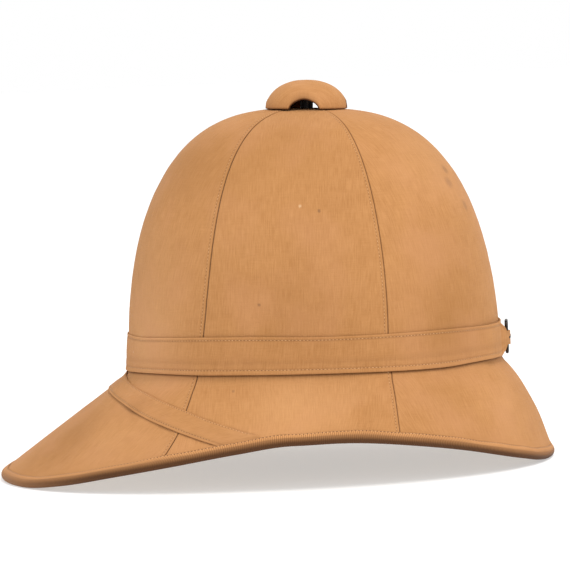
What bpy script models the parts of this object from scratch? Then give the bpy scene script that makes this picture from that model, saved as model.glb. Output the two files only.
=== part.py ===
"""Tropical pith helmet, resting on the front and rear of its brim.

Metres, +Z up, Z = 0 on the rest plane. The peak points along -Y and the wearer's left side is +X.
A moulded body is covered by six cloth gores. A brow strip crosses the front gores, a folded ribbon binds
the edge of the brim, a buckled cloth band goes round the foot of the crown, and a covered ventilator cap
stands over a hole in the top.
"""

import math

import bmesh
import bpy
import numpy as np

# Brim, measured over its binding
BRIM_LENGTH = 0.334
BRIM_WIDTH = 0.250
BRIM_WIDEST_Y = 0.015
FRONT_POWER = 2.2
REAR_POWER = 2.0
ARCH_RISE = 0.0258
REST_SINK = 0.0005
REAR_BOW = 0.0035

# Crown, outside of the cloth
CROWN_LENGTH = 0.223
CROWN_WIDTH = 0.187
CROWN_Y = 0.0253
CROWN_FOOT_Z = 0.0598
CROWN_TOP_Z = 0.2136
POLE_Y = 0.0280
RADIAL_POWER = 2.935
HEIGHT_POWER = 2.245
PLAN_POWER = 2.12
TOP_LEAN = math.radians(3.28)
FOOT_FILLET = 0.005

# Walls and clearances
COVER = 0.001
BODY_WALL = 0.003
RIBBON = 0.001
BAND_CLOTH = 0.001
GAP = 0.0003
SEAM_GAP = 0.0003

# Seams of the gores: where they stand on the crown, and how far they swing forward below it
SIDE_SEAM_FRONT = math.radians(61)
SIDE_SEAM_REAR = math.radians(116.5)
FOOT_SWING = math.radians(6.7)
FOOT_SWING_POWER = 8
EDGE_SWING = math.radians(11.2)
GORE_COLUMNS = 8
CROWN_ROWS = 10
BRIM_ROWS = 6
BRIM_TOP_ROW = 0.09

# Edge binding
BINDING_LEG = 0.0035
BINDING_TURNS = 6

# Hat band and its buckle
BAND_HEIGHT = 0.0210
BAND_FOOT_Z = 0.0618
BAND_SLOPE = 0.011
BAND_TUCK = 0.035
BAND_LIFT_RUN = 0.012
BAND_NECK = 0.0125
BAND_NECK_RUN = 0.007
BAND_TAIL = 0.006
LOOP_TURNS = 6
BUCKLE_HEIGHT = 0.0200
BUCKLE_WIDTH = 0.0170
BUCKLE_WIRE = 0.0020
BUCKLE_CORNER = 0.0025
BUCKLE_STAND = 0.0006
CORNER_STEPS = 5
PRONG_WIRE = 0.0012
PRONG_SLOT = 0.0030
PRONG_TIP = 0.0010
PRONG_EYE_START = math.radians(215)
PRONG_EYE_TURN = math.radians(235)
PRONG_STEPS = 12

# Brow strip
STRIP_CLOTH = 0.0015
STRIP_GAP = 0.0006
STRIP_UPPER_TURN = math.radians(82.2)
STRIP_LOWER_TURN = math.radians(72.4)
STRIP_COLUMNS = 32

# Ventilator
VENT_HOLE = 0.018
CAP_DIAMETER = 0.050
CAP_HEIGHT = 0.017
CAP_WALL = 0.0015
CAP_STEPS = 24
NOTCH_WIDTH = 0.017
NOTCH_HEIGHT = 0.0052
NOTCH_SEGMENTS = 20
NOTCH_OVERRUN = 1.2
STUD_DIAMETER = 0.0076
STUD_SEGMENTS = 16
STUD_BAR_LENGTH = 0.028
STUD_BAR_WIDTH = 0.007
STUD_BAR_THICK = 0.0015

SLAB = COVER + GAP + BODY_WALL
EDGE_ROUND = SLAB / 2 + GAP + RIBBON
CROWN_RISE = CROWN_TOP_Z - CROWN_FOOT_Z

# Small step for slopes, and how finely lengths are measured
PROBE = 0.001
REAR_SAMPLES = 401
TRAVEL_SAMPLES = 3601

# Height of the edge's underside along the brim: share of the half length, share of the arch's rise
ARCH_ROWS = (
    # along, height
    (-1.00, 0.000),
    (-0.88, 0.000),
    (-0.72, 0.116),
    (-0.52, 0.357),
    (-0.30, 0.609),
    (-0.08, 0.849),
    (0.12, 1.000),
    (0.32, 0.996),
    (0.50, 0.860),
    (0.70, 0.597),
    (0.88, 0.225),
    (0.96, 0.030),
    (1.00, -0.014),
)

# The strip's two edges on one side: shares of their end turns, and of the way down to the binding
STRIP_ROWS = (
    # along, upper_turn, upper_down, lower_turn, lower_down
    (0.00, 0.000, 0.035, 0.000, 0.165),
    (0.25, 0.300, 0.062, 0.345, 0.190),
    (0.45, 0.545, 0.165, 0.546, 0.318),
    (0.65, 0.745, 0.385, 0.740, 0.520),
    (0.83, 0.895, 0.710, 0.880, 0.738),
    (1.00, 1.000, 1.000, 1.000, 1.000),
)

# The cap's outside from its top to its rim: share of the radius, share of the height
CAP_ROWS = (
    # reach, height
    (0.00, 1.000),
    (0.25, 0.975),
    (0.48, 0.885),
    (0.68, 0.735),
    (0.84, 0.520),
    (0.95, 0.260),
    (1.00, 0.000),
)


def unit(vectors):
    """Vectors scaled to length one."""
    return vectors / np.linalg.norm(vectors, axis=-1, keepdims=True)


def oval(turn, front, rear, half_width, power):
    """A point of a rounded plan outline; turn 0 is the front, a quarter turn is the left side."""
    ahead, aside = np.cos(turn), np.sin(turn)
    reach = np.where(ahead > 0, front, rear)
    scale = (np.abs(ahead) ** power + np.abs(aside) ** power) ** (-1 / power)
    return half_width * aside * scale, -reach * ahead * scale


def crown_point(turn, down):
    """A point of the crown's cloth; down runs from 0 at the pole to 1 at the foot."""
    angle = down * math.pi / 2
    reach = np.sin(angle) ** (2 / RADIAL_POWER)
    rise = np.clip(np.cos(angle), 0, None) ** (2 / HEIGHT_POWER)
    swing = FOOT_SWING * np.sin(turn) * (1 + np.cos(turn)) / 2 * down ** FOOT_SWING_POWER
    x, y = oval(turn - swing, CROWN_LENGTH / 2, CROWN_LENGTH / 2, CROWN_WIDTH / 2, PLAN_POWER)
    lean = y * reach * math.tan(TOP_LEAN) * (1 - reach)
    middle = POLE_Y + (CROWN_Y - POLE_Y) * reach
    return np.stack([x * reach, y * reach + middle, CROWN_FOOT_Z + CROWN_RISE * rise - lean], -1)


def crown_down(height):
    """Where the crown's cloth passes a height."""
    share = np.clip((height - CROWN_FOOT_Z) / CROWN_RISE, 0, 1)
    return np.arccos(share ** (HEIGHT_POWER / 2)) / (math.pi / 2)


def reach_down(reach):
    """Where the crown's cloth is a distance from the pole, in front of it or behind it."""
    return math.asin((reach / (CROWN_LENGTH / 2)) ** (RADIAL_POWER / 2)) / (math.pi / 2)


def curve_through(xs, ys, at):
    """A smooth curve through a table."""
    xs, ys = np.asarray(xs, float), np.asarray(ys, float)
    slopes = np.diff(ys) / np.diff(xs)
    tangents = np.concatenate([[slopes[0]], (slopes[1:] + slopes[:-1]) / 2, [slopes[-1]]])
    flat = np.concatenate([[False], slopes[1:] * slopes[:-1] <= 0, [False]])
    tangents = np.where(flat, 0, tangents)
    place = np.clip(np.searchsorted(xs, at, side="right") - 1, 0, len(xs) - 2)
    width = xs[place + 1] - xs[place]
    t = np.clip((at - xs[place]) / width, 0, 1)
    return (
        (1 + 2 * t) * (1 - t) ** 2 * ys[place]
        + t * (1 - t) ** 2 * width * tangents[place]
        + t ** 2 * (3 - 2 * t) * ys[place + 1]
        + t ** 2 * (t - 1) * width * tangents[place + 1]
    )


def edge_arch(y):
    """Height of the binding's underside, from its table."""
    along, heights = zip(*ARCH_ROWS)
    return ARCH_RISE * curve_through(along, heights, y / (BRIM_LENGTH / 2))


def edge_centre(turn):
    """The middle of the brim's thickness at its edge."""
    swung = turn + EDGE_SWING * np.sin(turn) * ((1 + np.cos(turn)) / 2) ** 2
    front = BRIM_LENGTH / 2 + BRIM_WIDEST_Y - EDGE_ROUND
    rear = BRIM_LENGTH / 2 - BRIM_WIDEST_Y - EDGE_ROUND
    power = np.where(np.cos(swung) > 0, FRONT_POWER, REAR_POWER)
    x, y = oval(swung, front, rear, BRIM_WIDTH / 2 - EDGE_ROUND, power)
    y = y + BRIM_WIDEST_Y
    return np.stack([x, y, edge_arch(y) + EDGE_ROUND - REST_SINK], -1)


def edge_frame(turn):
    """The edge's middle, with the directions out of the cloth and down the brim."""
    centre = edge_centre(turn)
    down = unit(centre - crown_point(turn, np.ones_like(turn)))
    along = unit(edge_centre(turn + PROBE) - edge_centre(turn - PROBE))
    return centre, unit(np.cross(down, along)), down


def brim_point(turn, down):
    """A point of the brim's cloth; down runs from 0 at the crown's foot to 1 at the edge."""
    centre, out, _ = edge_frame(turn)
    foot = crown_point(turn, np.ones_like(turn))
    hump = down * (1 - down) ** 2 / ((1 / 3) * (2 / 3) ** 2)
    bow = REAR_BOW * np.clip(-np.cos(turn), 0, None) ** 2 * hump
    return foot + (centre + out * SLAB / 2 - foot) * down[..., None] + out * bow[..., None]


def skin(turn, down):
    """A point of the cloth: down is 0 at the pole, 1 at the crown's foot, 2 at the brim's edge."""
    turn, down = np.broadcast_arrays(np.asarray(turn, float), np.asarray(down, float))
    ones = np.ones_like(down)
    above = np.full_like(down, crown_down(CROWN_FOOT_Z + FOOT_FILLET))
    width = np.linalg.norm(brim_point(turn, ones) - brim_point(turn, ones * 0), axis=-1)
    below = FOOT_FILLET / width
    on_crown = (down < 1)[..., None]
    crown = crown_point(turn, np.clip(down, 0, 1))
    plain = np.where(on_crown, crown, brim_point(turn, np.clip(down - 1, 0, 1)))
    upper = np.clip((down - above) / (1 - above), 0, 1) / 2
    lower = (1 + np.clip((down - 1) / below, 0, 1)) / 2
    share = np.where(on_crown[..., 0], upper, lower)[..., None]
    fillet = (
        (1 - share) ** 2 * crown_point(turn, above)
        + 2 * share * (1 - share) * crown_point(turn, ones)
        + share ** 2 * brim_point(turn, below)
    )
    in_fillet = ((down > above) & (down < 1 + below))[..., None]
    return np.where(in_fillet, fillet, plain)


def skin_out(turn, down):
    """The direction straight out of the cloth."""
    turn, down = np.broadcast_arrays(np.asarray(turn, float), np.asarray(down, float))
    around = skin(turn + PROBE, down) - skin(turn - PROBE, down)
    along = skin(turn, np.clip(down + PROBE, 0, 2)) - skin(turn, np.clip(down - PROBE, 0, 2))
    return unit(np.cross(along, around))


def lifted(turn, down, out):
    """A point that stands a distance out of the cloth."""
    return skin(turn, down) + skin_out(turn, down) * np.asarray(out)[..., None]


def steps(start, stop, count):
    """Evenly spaced values, with the first and without the last."""
    return start + (stop - start) * np.arange(count) / count


# Turns of the six seams, from the front round the left side
SEAMS = (
    0.0,
    SIDE_SEAM_FRONT,
    SIDE_SEAM_REAR,
    math.pi,
    2 * math.pi - SIDE_SEAM_REAR,
    2 * math.pi - SIDE_SEAM_FRONT,
)
HOLE_DOWN = reach_down(VENT_HOLE / 2)
FILLET_DOWN = crown_down(CROWN_FOOT_Z + FOOT_FILLET)


def seam_turns():
    """The turns of all columns, from the front round the left side and back."""
    ends = SEAMS[1:] + (2 * math.pi,)
    turns = [steps(start, stop, GORE_COLUMNS) for start, stop in zip(SEAMS, ends)]
    return np.append(np.concatenate(turns), 2 * math.pi)


def row_downs():
    """The rows of the cloth and the body, from the brim's edge up to the hole."""
    brim = np.linspace(2, 1 + BRIM_TOP_ROW, BRIM_ROWS)
    crown = FILLET_DOWN + (HOLE_DOWN - FILLET_DOWN) * np.arange(CROWN_ROWS + 1) / CROWN_ROWS
    return np.concatenate([brim, [1.0], crown])


def material(name, colour, roughness, metallic=0.0):
    """A plain finish."""
    made = bpy.data.materials.new(name)
    made.use_nodes = True
    shader = made.node_tree.nodes["Principled BSDF"]
    shader.inputs["Base Color"].default_value = (*colour, 1.0)
    shader.inputs["Roughness"].default_value = roughness
    shader.inputs["Metallic"].default_value = metallic
    return made


def add_object(name, data, finish, collection, parent):
    """An object with its finish, in its collection and under its parent."""
    made = bpy.data.objects.new(name, data)
    collection.objects.link(made)
    made.parent = parent
    if finish:
        data.materials.append(finish)
    return made


def sheet_mesh(name, columns, rows, place, closed=False):
    """A grid of quads bent to a surface; place gives all points from their column and row numbers."""
    grid = bmesh.new()
    bmesh.ops.create_grid(grid, x_segments=columns, y_segments=rows, size=0.5)
    column = np.rint([(vert.co.x + 0.5) * columns for vert in grid.verts]).astype(int)
    row = np.rint([(vert.co.y + 0.5) * rows for vert in grid.verts]).astype(int)
    for vert, point in zip(grid.verts, place(column, row)):
        vert.co = point
    if closed:
        bmesh.ops.remove_doubles(grid, verts=grid.verts, dist=1e-6)
    mesh = bpy.data.meshes.new(name)
    grid.to_mesh(mesh)
    grid.free()
    mesh.shade_smooth()
    return mesh


def thicken(target, thickness, offset=-1.0):
    """Gives a sheet its wall; offset -1 puts it inside, 1 outside."""
    wall = target.modifiers.new("wall", "SOLIDIFY")
    wall.thickness = thickness
    wall.offset = offset
    wall.use_even_offset = True
    wall.use_quality_normals = True
    return wall


def cut(target, cutter):
    """Takes a cutter's shape out of a piece."""
    taken = target.modifiers.new("cut", "BOOLEAN")
    taken.operation = "DIFFERENCE"
    taken.object = cutter


def make_body(name, finish, collection, parent):
    """The moulded body: crown and brim in one wall, open at the head and at the vent."""
    turns, downs = seam_turns(), row_downs()

    def place(column, row):
        return lifted(turns[column], downs[row], np.full(len(row), -COVER - GAP))

    mesh = sheet_mesh(name, len(turns) - 1, len(downs) - 1, place, closed=True)
    thicken(add_object(name, mesh, finish, collection, parent), BODY_WALL)


def make_gore(number, finish, collection, parent):
    """One cloth gore from the vent to the brim's edge, half a seam gap short of each seam."""
    name = f"cover_gore_{number + 1}"
    turns, downs = seam_turns(), row_downs()
    first = number * GORE_COLUMNS

    def place(column, row):
        turn, down = turns[first + column], downs[row]
        across = skin(turn + PROBE, down) - skin(turn - PROBE, down)
        inset = SEAM_GAP / 2 * 2 * PROBE / np.linalg.norm(across, axis=-1)
        turn = turn + np.where(column == 0, inset, 0) - np.where(column == GORE_COLUMNS, inset, 0)
        return skin(turn, down)

    mesh = sheet_mesh(name, GORE_COLUMNS, len(downs) - 1, place)
    thicken(add_object(name, mesh, finish, collection, parent), COVER)


def make_binding(name, finish, collection, parent):
    """The ribbon folded over the brim's edge, flattened where the helmet rests."""
    turns = seam_turns()
    angles = np.concatenate([[0], math.pi * np.arange(BINDING_TURNS + 1) / BINDING_TURNS, [math.pi]])
    legs = np.zeros(len(angles))
    legs[[0, -1]] = BINDING_LEG

    def place(column, row):
        centre, out, down = edge_frame(turns[column])
        angle, leg = angles[::-1][row], legs[::-1][row]
        reach = EDGE_ROUND * np.cos(angle)
        fall = EDGE_ROUND * np.sin(angle) - leg
        points = centre + out * reach[:, None] + down * fall[:, None]
        points[:, 2] = np.clip(points[:, 2], 0, None)
        return points

    mesh = sheet_mesh(name, len(turns) - 1, len(angles) - 1, place, closed=True)
    thicken(add_object(name, mesh, finish, collection, parent), RIBBON)


def strip_edge(share, turns, end_turn, downs):
    """One edge of the brow strip, from tables of its turn and of its way down to the binding."""
    along = [row[0] for row in STRIP_ROWS]
    turn = np.interp(share, along, turns) * end_turn
    foot = crown_point(turn, np.ones_like(turn))
    width = np.linalg.norm(edge_centre(turn) - foot, axis=-1)
    free = 1 - (BINDING_LEG + GAP) / width
    return turn, 1 + np.interp(share, along, downs) * free


def make_brow_strip(name, finish, collection, parent):
    """The cloth strip over the front gores, from the binding over the brow to the binding."""
    _, upper_turns, upper_downs, lower_turns, lower_downs = zip(*STRIP_ROWS)

    def place(column, row):
        way = 2 * column / STRIP_COLUMNS - 1
        upper_turn, upper_down = strip_edge(np.abs(way), upper_turns, STRIP_UPPER_TURN, upper_downs)
        lower_turn, lower_down = strip_edge(np.abs(way), lower_turns, STRIP_LOWER_TURN, lower_downs)
        across = row / 2
        turn = lower_turn + (upper_turn - lower_turn) * across
        down = lower_down + (upper_down - lower_down) * across
        return lifted(turn * np.sign(way), down, np.full(len(row), STRIP_GAP))

    mesh = sheet_mesh(name, STRIP_COLUMNS, 2, place)
    thicken(add_object(name, mesh, finish, collection, parent), STRIP_CLOTH, offset=1.0)


# Heights of the band's and the buckle's layers over the crown's cloth, to the middle of each
TONGUE_OUT = GAP + BAND_CLOTH / 2
LAP_OUT = TONGUE_OUT + BAND_CLOTH + GAP
BAR_OUT = GAP + BAND_CLOTH + BUCKLE_STAND + PRONG_WIRE + GAP + BUCKLE_WIRE / 2
LOOP_RADIUS = BUCKLE_WIRE / 2 + GAP + BAND_CLOTH / 2
TAIL_OUT = BAR_OUT - LOOP_RADIUS
OVER_TAIL_OUT = TAIL_OUT + BAND_CLOTH + GAP
BAND_Z = BAND_FOOT_Z + BAND_HEIGHT / 2
BAND_DOWN = crown_down(BAND_Z)
BAR_X = (BUCKLE_WIDTH - BUCKLE_WIRE) / 2
REAR_Y = crown_point(np.array(math.pi), np.array(BAND_DOWN))[1]


def rear_point(x, out):
    """A point behind the crown at the band's middle height, a distance out of the cloth."""
    turns = np.linspace(math.pi - 1, math.pi + 1, REAR_SAMPLES)
    points = lifted(turns, BAND_DOWN, np.full_like(turns, out))
    return np.array([x, np.interp(-x, -points[:, 0], points[:, 1]), BAND_Z])


def band_run():
    """The band's columns up to its buckle loop: turn, distance out, share of full height, uprightness."""
    fine = np.linspace(math.pi - 1, 3 * math.pi, TRAVEL_SAMPLES)
    points = crown_point(fine, np.full_like(fine, BAND_DOWN))
    travel = np.concatenate([[0], np.cumsum(np.linalg.norm(np.diff(points, axis=0), axis=1))])
    travel = travel - np.interp(math.pi, fine, travel)
    whole = travel[-1]
    neck = BAND_NECK / BAND_HEIGHT
    loop = whole - BAR_X
    tail = loop - BAND_TAIL
    keys = np.array((
        # travel, out, share, upright
        (-BAND_TUCK, TONGUE_OUT, 1, 0),
        (whole - BAND_TUCK - BAND_LIFT_RUN, TONGUE_OUT, 1, 0),
        (whole - BAND_TUCK, LAP_OUT, 1, 0),
        (tail - BAND_NECK_RUN / 2, LAP_OUT, 1, 0),
        (tail, OVER_TAIL_OUT, (1 + neck) / 2, 0.5),
        (loop - BUCKLE_WIRE * 2, OVER_TAIL_OUT + BUCKLE_WIRE / 2, neck, 1),
    ))
    seams = seam_turns()[:-1]
    turns = np.concatenate([seams, seams + 2 * math.pi])
    places = np.interp(turns, fine, travel)
    inside = (turns > fine[0]) & (places > keys[0, 0]) & (places < keys[-1, 0])
    clear = np.min(np.abs(places[:, None] - keys[None, :, 0]), axis=1) > BAND_CLOTH
    places = np.sort(np.concatenate([places[inside & clear], keys[:, 0]]))
    columns = [np.interp(places, keys[:, 0], keys[:, number]) for number in (1, 2, 3)]
    return np.interp(places, travel, fine), *columns


def make_band(name, finish, collection, cutters, parent):
    """The hat band: one end passes under the buckle, and the other loops round the buckle's near bar."""
    turn, out, share, upright = band_run()
    bar = rear_point(BAR_X, BAR_OUT)
    angles = np.radians(90) + math.pi * np.arange(LOOP_TURNS + 1) / LOOP_TURNS
    loop = bar + LOOP_RADIUS * np.stack([np.cos(angles), np.sin(angles), 0 * angles], -1)
    tail = np.array([rear_point(BAR_X + BAND_TAIL * part, TAIL_OUT) for part in (0.5, 1.0)])
    ends = np.concatenate([loop, tail])
    neck = BAND_NECK / BAND_HEIGHT
    count = len(turn) + len(ends)

    def place(column, row):
        level = row / 2 - 0.5
        points = np.empty((len(column), 3))
        on_run = column < len(turn)
        run = column[on_run]
        ahead = REAR_Y - crown_point(turn[run], np.full(len(run), BAND_DOWN))[:, 1]
        height = BAND_Z + BAND_SLOPE * ahead + level[on_run] * BAND_HEIGHT * share[run]
        sloped = lifted(turn[run], crown_down(height), out[run])
        plumb = lifted(turn[run], np.full(len(run), BAND_DOWN), out[run])
        points[on_run] = sloped + (plumb - sloped) * upright[run][:, None]
        points[on_run, 2] = height
        points[~on_run] = ends[column[~on_run] - len(turn)]
        points[~on_run, 2] = BAND_Z + level[~on_run] * BAND_HEIGHT * neck
        return points

    mesh = sheet_mesh(name, count - 1, 2, place)
    band = add_object(name, mesh, finish, collection, parent)
    thicken(band, BAND_CLOTH, offset=0.0)

    eye = BUCKLE_WIRE / 2 + GAP + PRONG_WIRE
    beyond = LOOP_RADIUS + BAND_CLOTH
    low = bar - [beyond, LOOP_RADIUS + BAND_CLOTH / 2 + BUCKLE_STAND / 2, PRONG_SLOT / 2]
    high = bar + [eye + GAP, beyond, PRONG_SLOT / 2]
    cut(band, make_box("prong_slot_cutter", low, high, cutters, parent))


def make_box(name, low, high, collection, parent):
    """A hidden helper block between two corners."""
    block = bmesh.new()
    bmesh.ops.create_cube(block, size=1.0)
    for vert in block.verts:
        vert.co = [(a + b) / 2 + part * (b - a) for a, b, part in zip(low, high, vert.co)]
    mesh = bpy.data.meshes.new(name)
    block.to_mesh(mesh)
    block.free()
    return hide_helper(add_object(name, mesh, None, collection, parent))


def hide_helper(helper):
    """Keeps a cutter or a joining block out of the picture."""
    helper.hide_render = True
    helper.display_type = "WIRE"
    return helper


def make_wire(name, points, diameter, closed, finish, collection, parent):
    """A round wire along a line of points."""
    curve = bpy.data.curves.new(name, "CURVE")
    curve.dimensions = "3D"
    curve.bevel_depth = diameter / 2
    curve.bevel_resolution = 2
    curve.use_fill_caps = not closed
    spline = curve.splines.new("POLY")
    spline.points.add(len(points) - 1)
    for target, point in zip(spline.points, points):
        target.co = (*point, 1)
    spline.use_cyclic_u = closed
    spline.use_smooth = True
    return add_object(name, curve, finish, collection, parent)


def make_buckle_frame(name, finish, collection, parent):
    """The buckle's wire frame, upright behind the band."""
    plane_y = rear_point(BAR_X, BAR_OUT)[1]
    half_height = (BUCKLE_HEIGHT - BUCKLE_WIRE) / 2
    points = []
    for corner, (side, end) in enumerate(((1, 1), (-1, 1), (-1, -1), (1, -1))):
        middle_x = side * (BAR_X - BUCKLE_CORNER)
        middle_z = BAND_Z + end * (half_height - BUCKLE_CORNER)
        for step in range(CORNER_STEPS + 1):
            angle = math.radians(90) * (corner + step / CORNER_STEPS)
            points.append((
                middle_x + BUCKLE_CORNER * math.cos(angle),
                plane_y,
                middle_z + BUCKLE_CORNER * math.sin(angle),
            ))
    make_wire(name, points, BUCKLE_WIRE, True, finish, collection, parent)


def make_buckle_prong(name, finish, collection, parent):
    """The prong: an eye round the near bar, and a straight tongue over the frame onto the far bar."""
    bar = rear_point(BAR_X, BAR_OUT)
    eye = BUCKLE_WIRE / 2 + GAP + PRONG_WIRE / 2
    points = []
    for step in range(PRONG_STEPS + 1):
        angle = PRONG_EYE_START + PRONG_EYE_TURN * step / PRONG_STEPS
        points.append(bar + eye * np.array([math.cos(angle), math.sin(angle), 0]))
    points.append(bar + [-2 * BAR_X - PRONG_TIP, eye, 0])
    make_wire(name, points, PRONG_WIRE, False, finish, collection, parent)


def cap_frame():
    """Where the ventilator stands: the middle of its rim and its backward tilt."""
    down = np.array(reach_down(CAP_DIAMETER / 2))
    front, rear = crown_point(np.array(0.0), down), crown_point(np.array(math.pi), down)
    tilt = math.atan2(front[2] - rear[2], rear[1] - front[1])
    axis = np.array([0, math.sin(tilt), math.cos(tilt)])
    return (front + rear) / 2 + axis * GAP, tilt, axis


def stand_on_cap_frame(target):
    """Sets a piece on the ventilator's axis."""
    middle, tilt, _ = cap_frame()
    target.location = middle
    target.rotation_euler = (-tilt, 0, 0)
    return target


def make_cap(name, finish, collection, cutters, parent):
    """The covered ventilator cap: a turned dome with four arched notches in its rim."""
    radius = CAP_DIAMETER / 2
    outer = [(reach * radius, height * CAP_HEIGHT) for reach, height in CAP_ROWS]
    scale, rise = radius - CAP_WALL, CAP_HEIGHT - CAP_WALL
    inner = [(reach * scale, height * rise) for reach, height in CAP_ROWS]
    profile = outer + inner[::-1]
    mesh = bpy.data.meshes.new(name)
    edges = [(number, number + 1) for number in range(len(profile) - 1)]
    mesh.from_pydata([(x, 0, z) for x, z in profile], edges, [])
    cap = stand_on_cap_frame(add_object(name, mesh, finish, collection, parent))
    turned = cap.modifiers.new("turned", "SCREW")
    turned.steps = CAP_STEPS
    turned.render_steps = CAP_STEPS
    turned.use_merge_vertices = True
    turned.merge_threshold = 0.00001
    turned.use_smooth_shade = True
    for side, heading in (("side", 0), ("front", math.pi / 2)):
        arch = bmesh.new()
        bmesh.ops.create_cone(
            arch,
            cap_ends=True,
            segments=NOTCH_SEGMENTS,
            radius1=1,
            radius2=1,
            depth=CAP_DIAMETER * NOTCH_OVERRUN,
        )
        for vert in arch.verts:
            across, up, along = vert.co.x * NOTCH_WIDTH / 2, vert.co.y * NOTCH_HEIGHT, vert.co.z
            vert.co = (
                along * math.cos(heading) - across * math.sin(heading),
                along * math.sin(heading) + across * math.cos(heading),
                up,
            )
        bmesh.ops.recalc_face_normals(arch, faces=arch.faces)
        cutter_mesh = bpy.data.meshes.new(f"notch_cutter_{side}")
        arch.to_mesh(cutter_mesh)
        arch.free()
        cutter = add_object(f"notch_cutter_{side}", cutter_mesh, None, cutters, parent)
        cut(cap, stand_on_cap_frame(hide_helper(cutter)))


def make_stud(name, finish, collection, cutters, parent):
    """The plain stud that holds the cap: a post through the vent and a bar across its underside."""
    middle, _, axis = cap_frame()
    down = np.array(reach_down(STUD_BAR_LENGTH / 2))
    seats = [lifted(np.array(turn), down, np.array(-SLAB)) for turn in (0.0, math.pi)]
    bar_top = min(float((seat - middle) @ axis) for seat in seats) - GAP
    radius = CAP_DIAMETER / 2 - CAP_WALL
    reaches, heights = zip(*CAP_ROWS)
    post_top = np.interp(STUD_DIAMETER / 2 / radius, reaches, heights) * (CAP_HEIGHT - CAP_WALL) - GAP
    post_foot = bar_top - STUD_BAR_THICK / 2
    post = bmesh.new()
    bmesh.ops.create_cone(
        post,
        cap_ends=True,
        segments=STUD_SEGMENTS,
        radius1=STUD_DIAMETER / 2,
        radius2=STUD_DIAMETER / 2,
        depth=post_top - post_foot,
    )
    bmesh.ops.translate(post, verts=post.verts, vec=(0, 0, (post_top + post_foot) / 2))
    mesh = bpy.data.meshes.new(name)
    post.to_mesh(mesh)
    post.free()
    stud = stand_on_cap_frame(add_object(name, mesh, finish, collection, parent))
    low = (-STUD_BAR_WIDTH / 2, -STUD_BAR_LENGTH / 2, bar_top - STUD_BAR_THICK)
    high = (STUD_BAR_WIDTH / 2, STUD_BAR_LENGTH / 2, bar_top)
    joined = stud.modifiers.new("bar", "BOOLEAN")
    joined.operation = "UNION"
    joined.object = stand_on_cap_frame(make_box("stud_bar_block", low, high, cutters, parent))


def clear_scene():
    """Removes what the scene holds."""
    for old in list(bpy.data.objects):
        bpy.data.objects.remove(old, do_unlink=True)


def add_collection(name, hidden=False):
    """A collection under the scene's own."""
    made = bpy.data.collections.new(name)
    bpy.context.scene.collection.children.link(made)
    made.hide_render = hidden
    return made


def main():
    """Builds the helmet."""
    clear_scene()
    pieces = add_collection("pith_helmet")
    cutters = add_collection("cutters", hidden=True)
    parent = bpy.data.objects.new("pith_helmet_base", None)
    pieces.objects.link(parent)

    cloth = material("tan_cloth", (0.56, 0.35, 0.18), 0.9)
    ribbon = material("tan_ribbon", (0.50, 0.31, 0.16), 0.7)
    pith = material("moulded_pith", (0.62, 0.50, 0.36), 0.95)
    dark_metal = material("blackened_metal", (0.03, 0.028, 0.026), 0.45, 1.0)

    make_body("body_shell", pith, pieces, parent)
    for number in range(len(SEAMS)):
        make_gore(number, cloth, pieces, parent)
    make_binding("brim_binding", ribbon, pieces, parent)
    make_brow_strip("brow_strip", cloth, pieces, parent)
    make_band("hat_band", cloth, pieces, cutters, parent)
    make_buckle_frame("buckle_frame", dark_metal, pieces, parent)
    make_buckle_prong("buckle_prong", dark_metal, pieces, parent)
    make_cap("ventilator_cap", cloth, pieces, cutters, parent)
    make_stud("ventilator_stud", dark_metal, pieces, cutters, parent)


main()
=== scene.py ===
import math

import bpy
import numpy as np
from mathutils import Matrix, Vector


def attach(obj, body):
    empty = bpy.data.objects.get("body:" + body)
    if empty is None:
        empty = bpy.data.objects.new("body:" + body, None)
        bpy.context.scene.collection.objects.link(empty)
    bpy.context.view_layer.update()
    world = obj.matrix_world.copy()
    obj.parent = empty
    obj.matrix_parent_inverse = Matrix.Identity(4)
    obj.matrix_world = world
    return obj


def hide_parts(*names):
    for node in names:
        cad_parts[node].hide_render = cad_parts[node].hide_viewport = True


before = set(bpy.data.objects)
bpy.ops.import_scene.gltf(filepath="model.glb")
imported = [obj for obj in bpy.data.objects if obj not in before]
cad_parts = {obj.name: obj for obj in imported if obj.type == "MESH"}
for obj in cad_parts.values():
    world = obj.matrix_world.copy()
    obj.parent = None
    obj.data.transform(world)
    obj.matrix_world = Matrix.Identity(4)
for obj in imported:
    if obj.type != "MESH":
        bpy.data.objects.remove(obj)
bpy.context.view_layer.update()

TURN = 2 * math.pi
MM = 0.001

# The frame's named sizes. BAND_NECK is 4 mm narrower than there, and the strip's ends reach 1.3 degrees further
BRIM_LENGTH, BRIM_WIDTH, BRIM_WIDEST_Y = 0.334, 0.250, 0.015
FRONT_POWER, REAR_POWER = 2.2, 2.0
ARCH_RISE, REST_SINK, REAR_BOW = 0.0258, 0.0005, 0.0035
CROWN_LENGTH, CROWN_WIDTH, CROWN_Y = 0.223, 0.187, 0.0253
CROWN_FOOT_Z, CROWN_TOP_Z, POLE_Y = 0.0598, 0.2136, 0.0280
RADIAL_POWER, HEIGHT_POWER, PLAN_POWER = 2.935, 2.245, 2.12
TOP_LEAN = math.radians(3.28)
FOOT_FILLET = 0.005
COVER, BODY_WALL, RIBBON, BAND_CLOTH, GAP = 0.001, 0.003, 0.001, 0.001, 0.0003
SIDE_SEAM_FRONT, SIDE_SEAM_REAR = math.radians(61), math.radians(116.5)
FOOT_SWING, FOOT_SWING_POWER, EDGE_SWING = math.radians(6.7), 8, math.radians(11.2)
BINDING_LEG = 0.0035
BAND_HEIGHT, BAND_FOOT_Z, BAND_SLOPE = 0.0210, 0.0618, 0.011
BAND_TUCK, BAND_LIFT_RUN, BAND_NECK, BAND_NECK_RUN, BAND_TAIL = 0.035, 0.012, 0.0085, 0.007, 0.006
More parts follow.
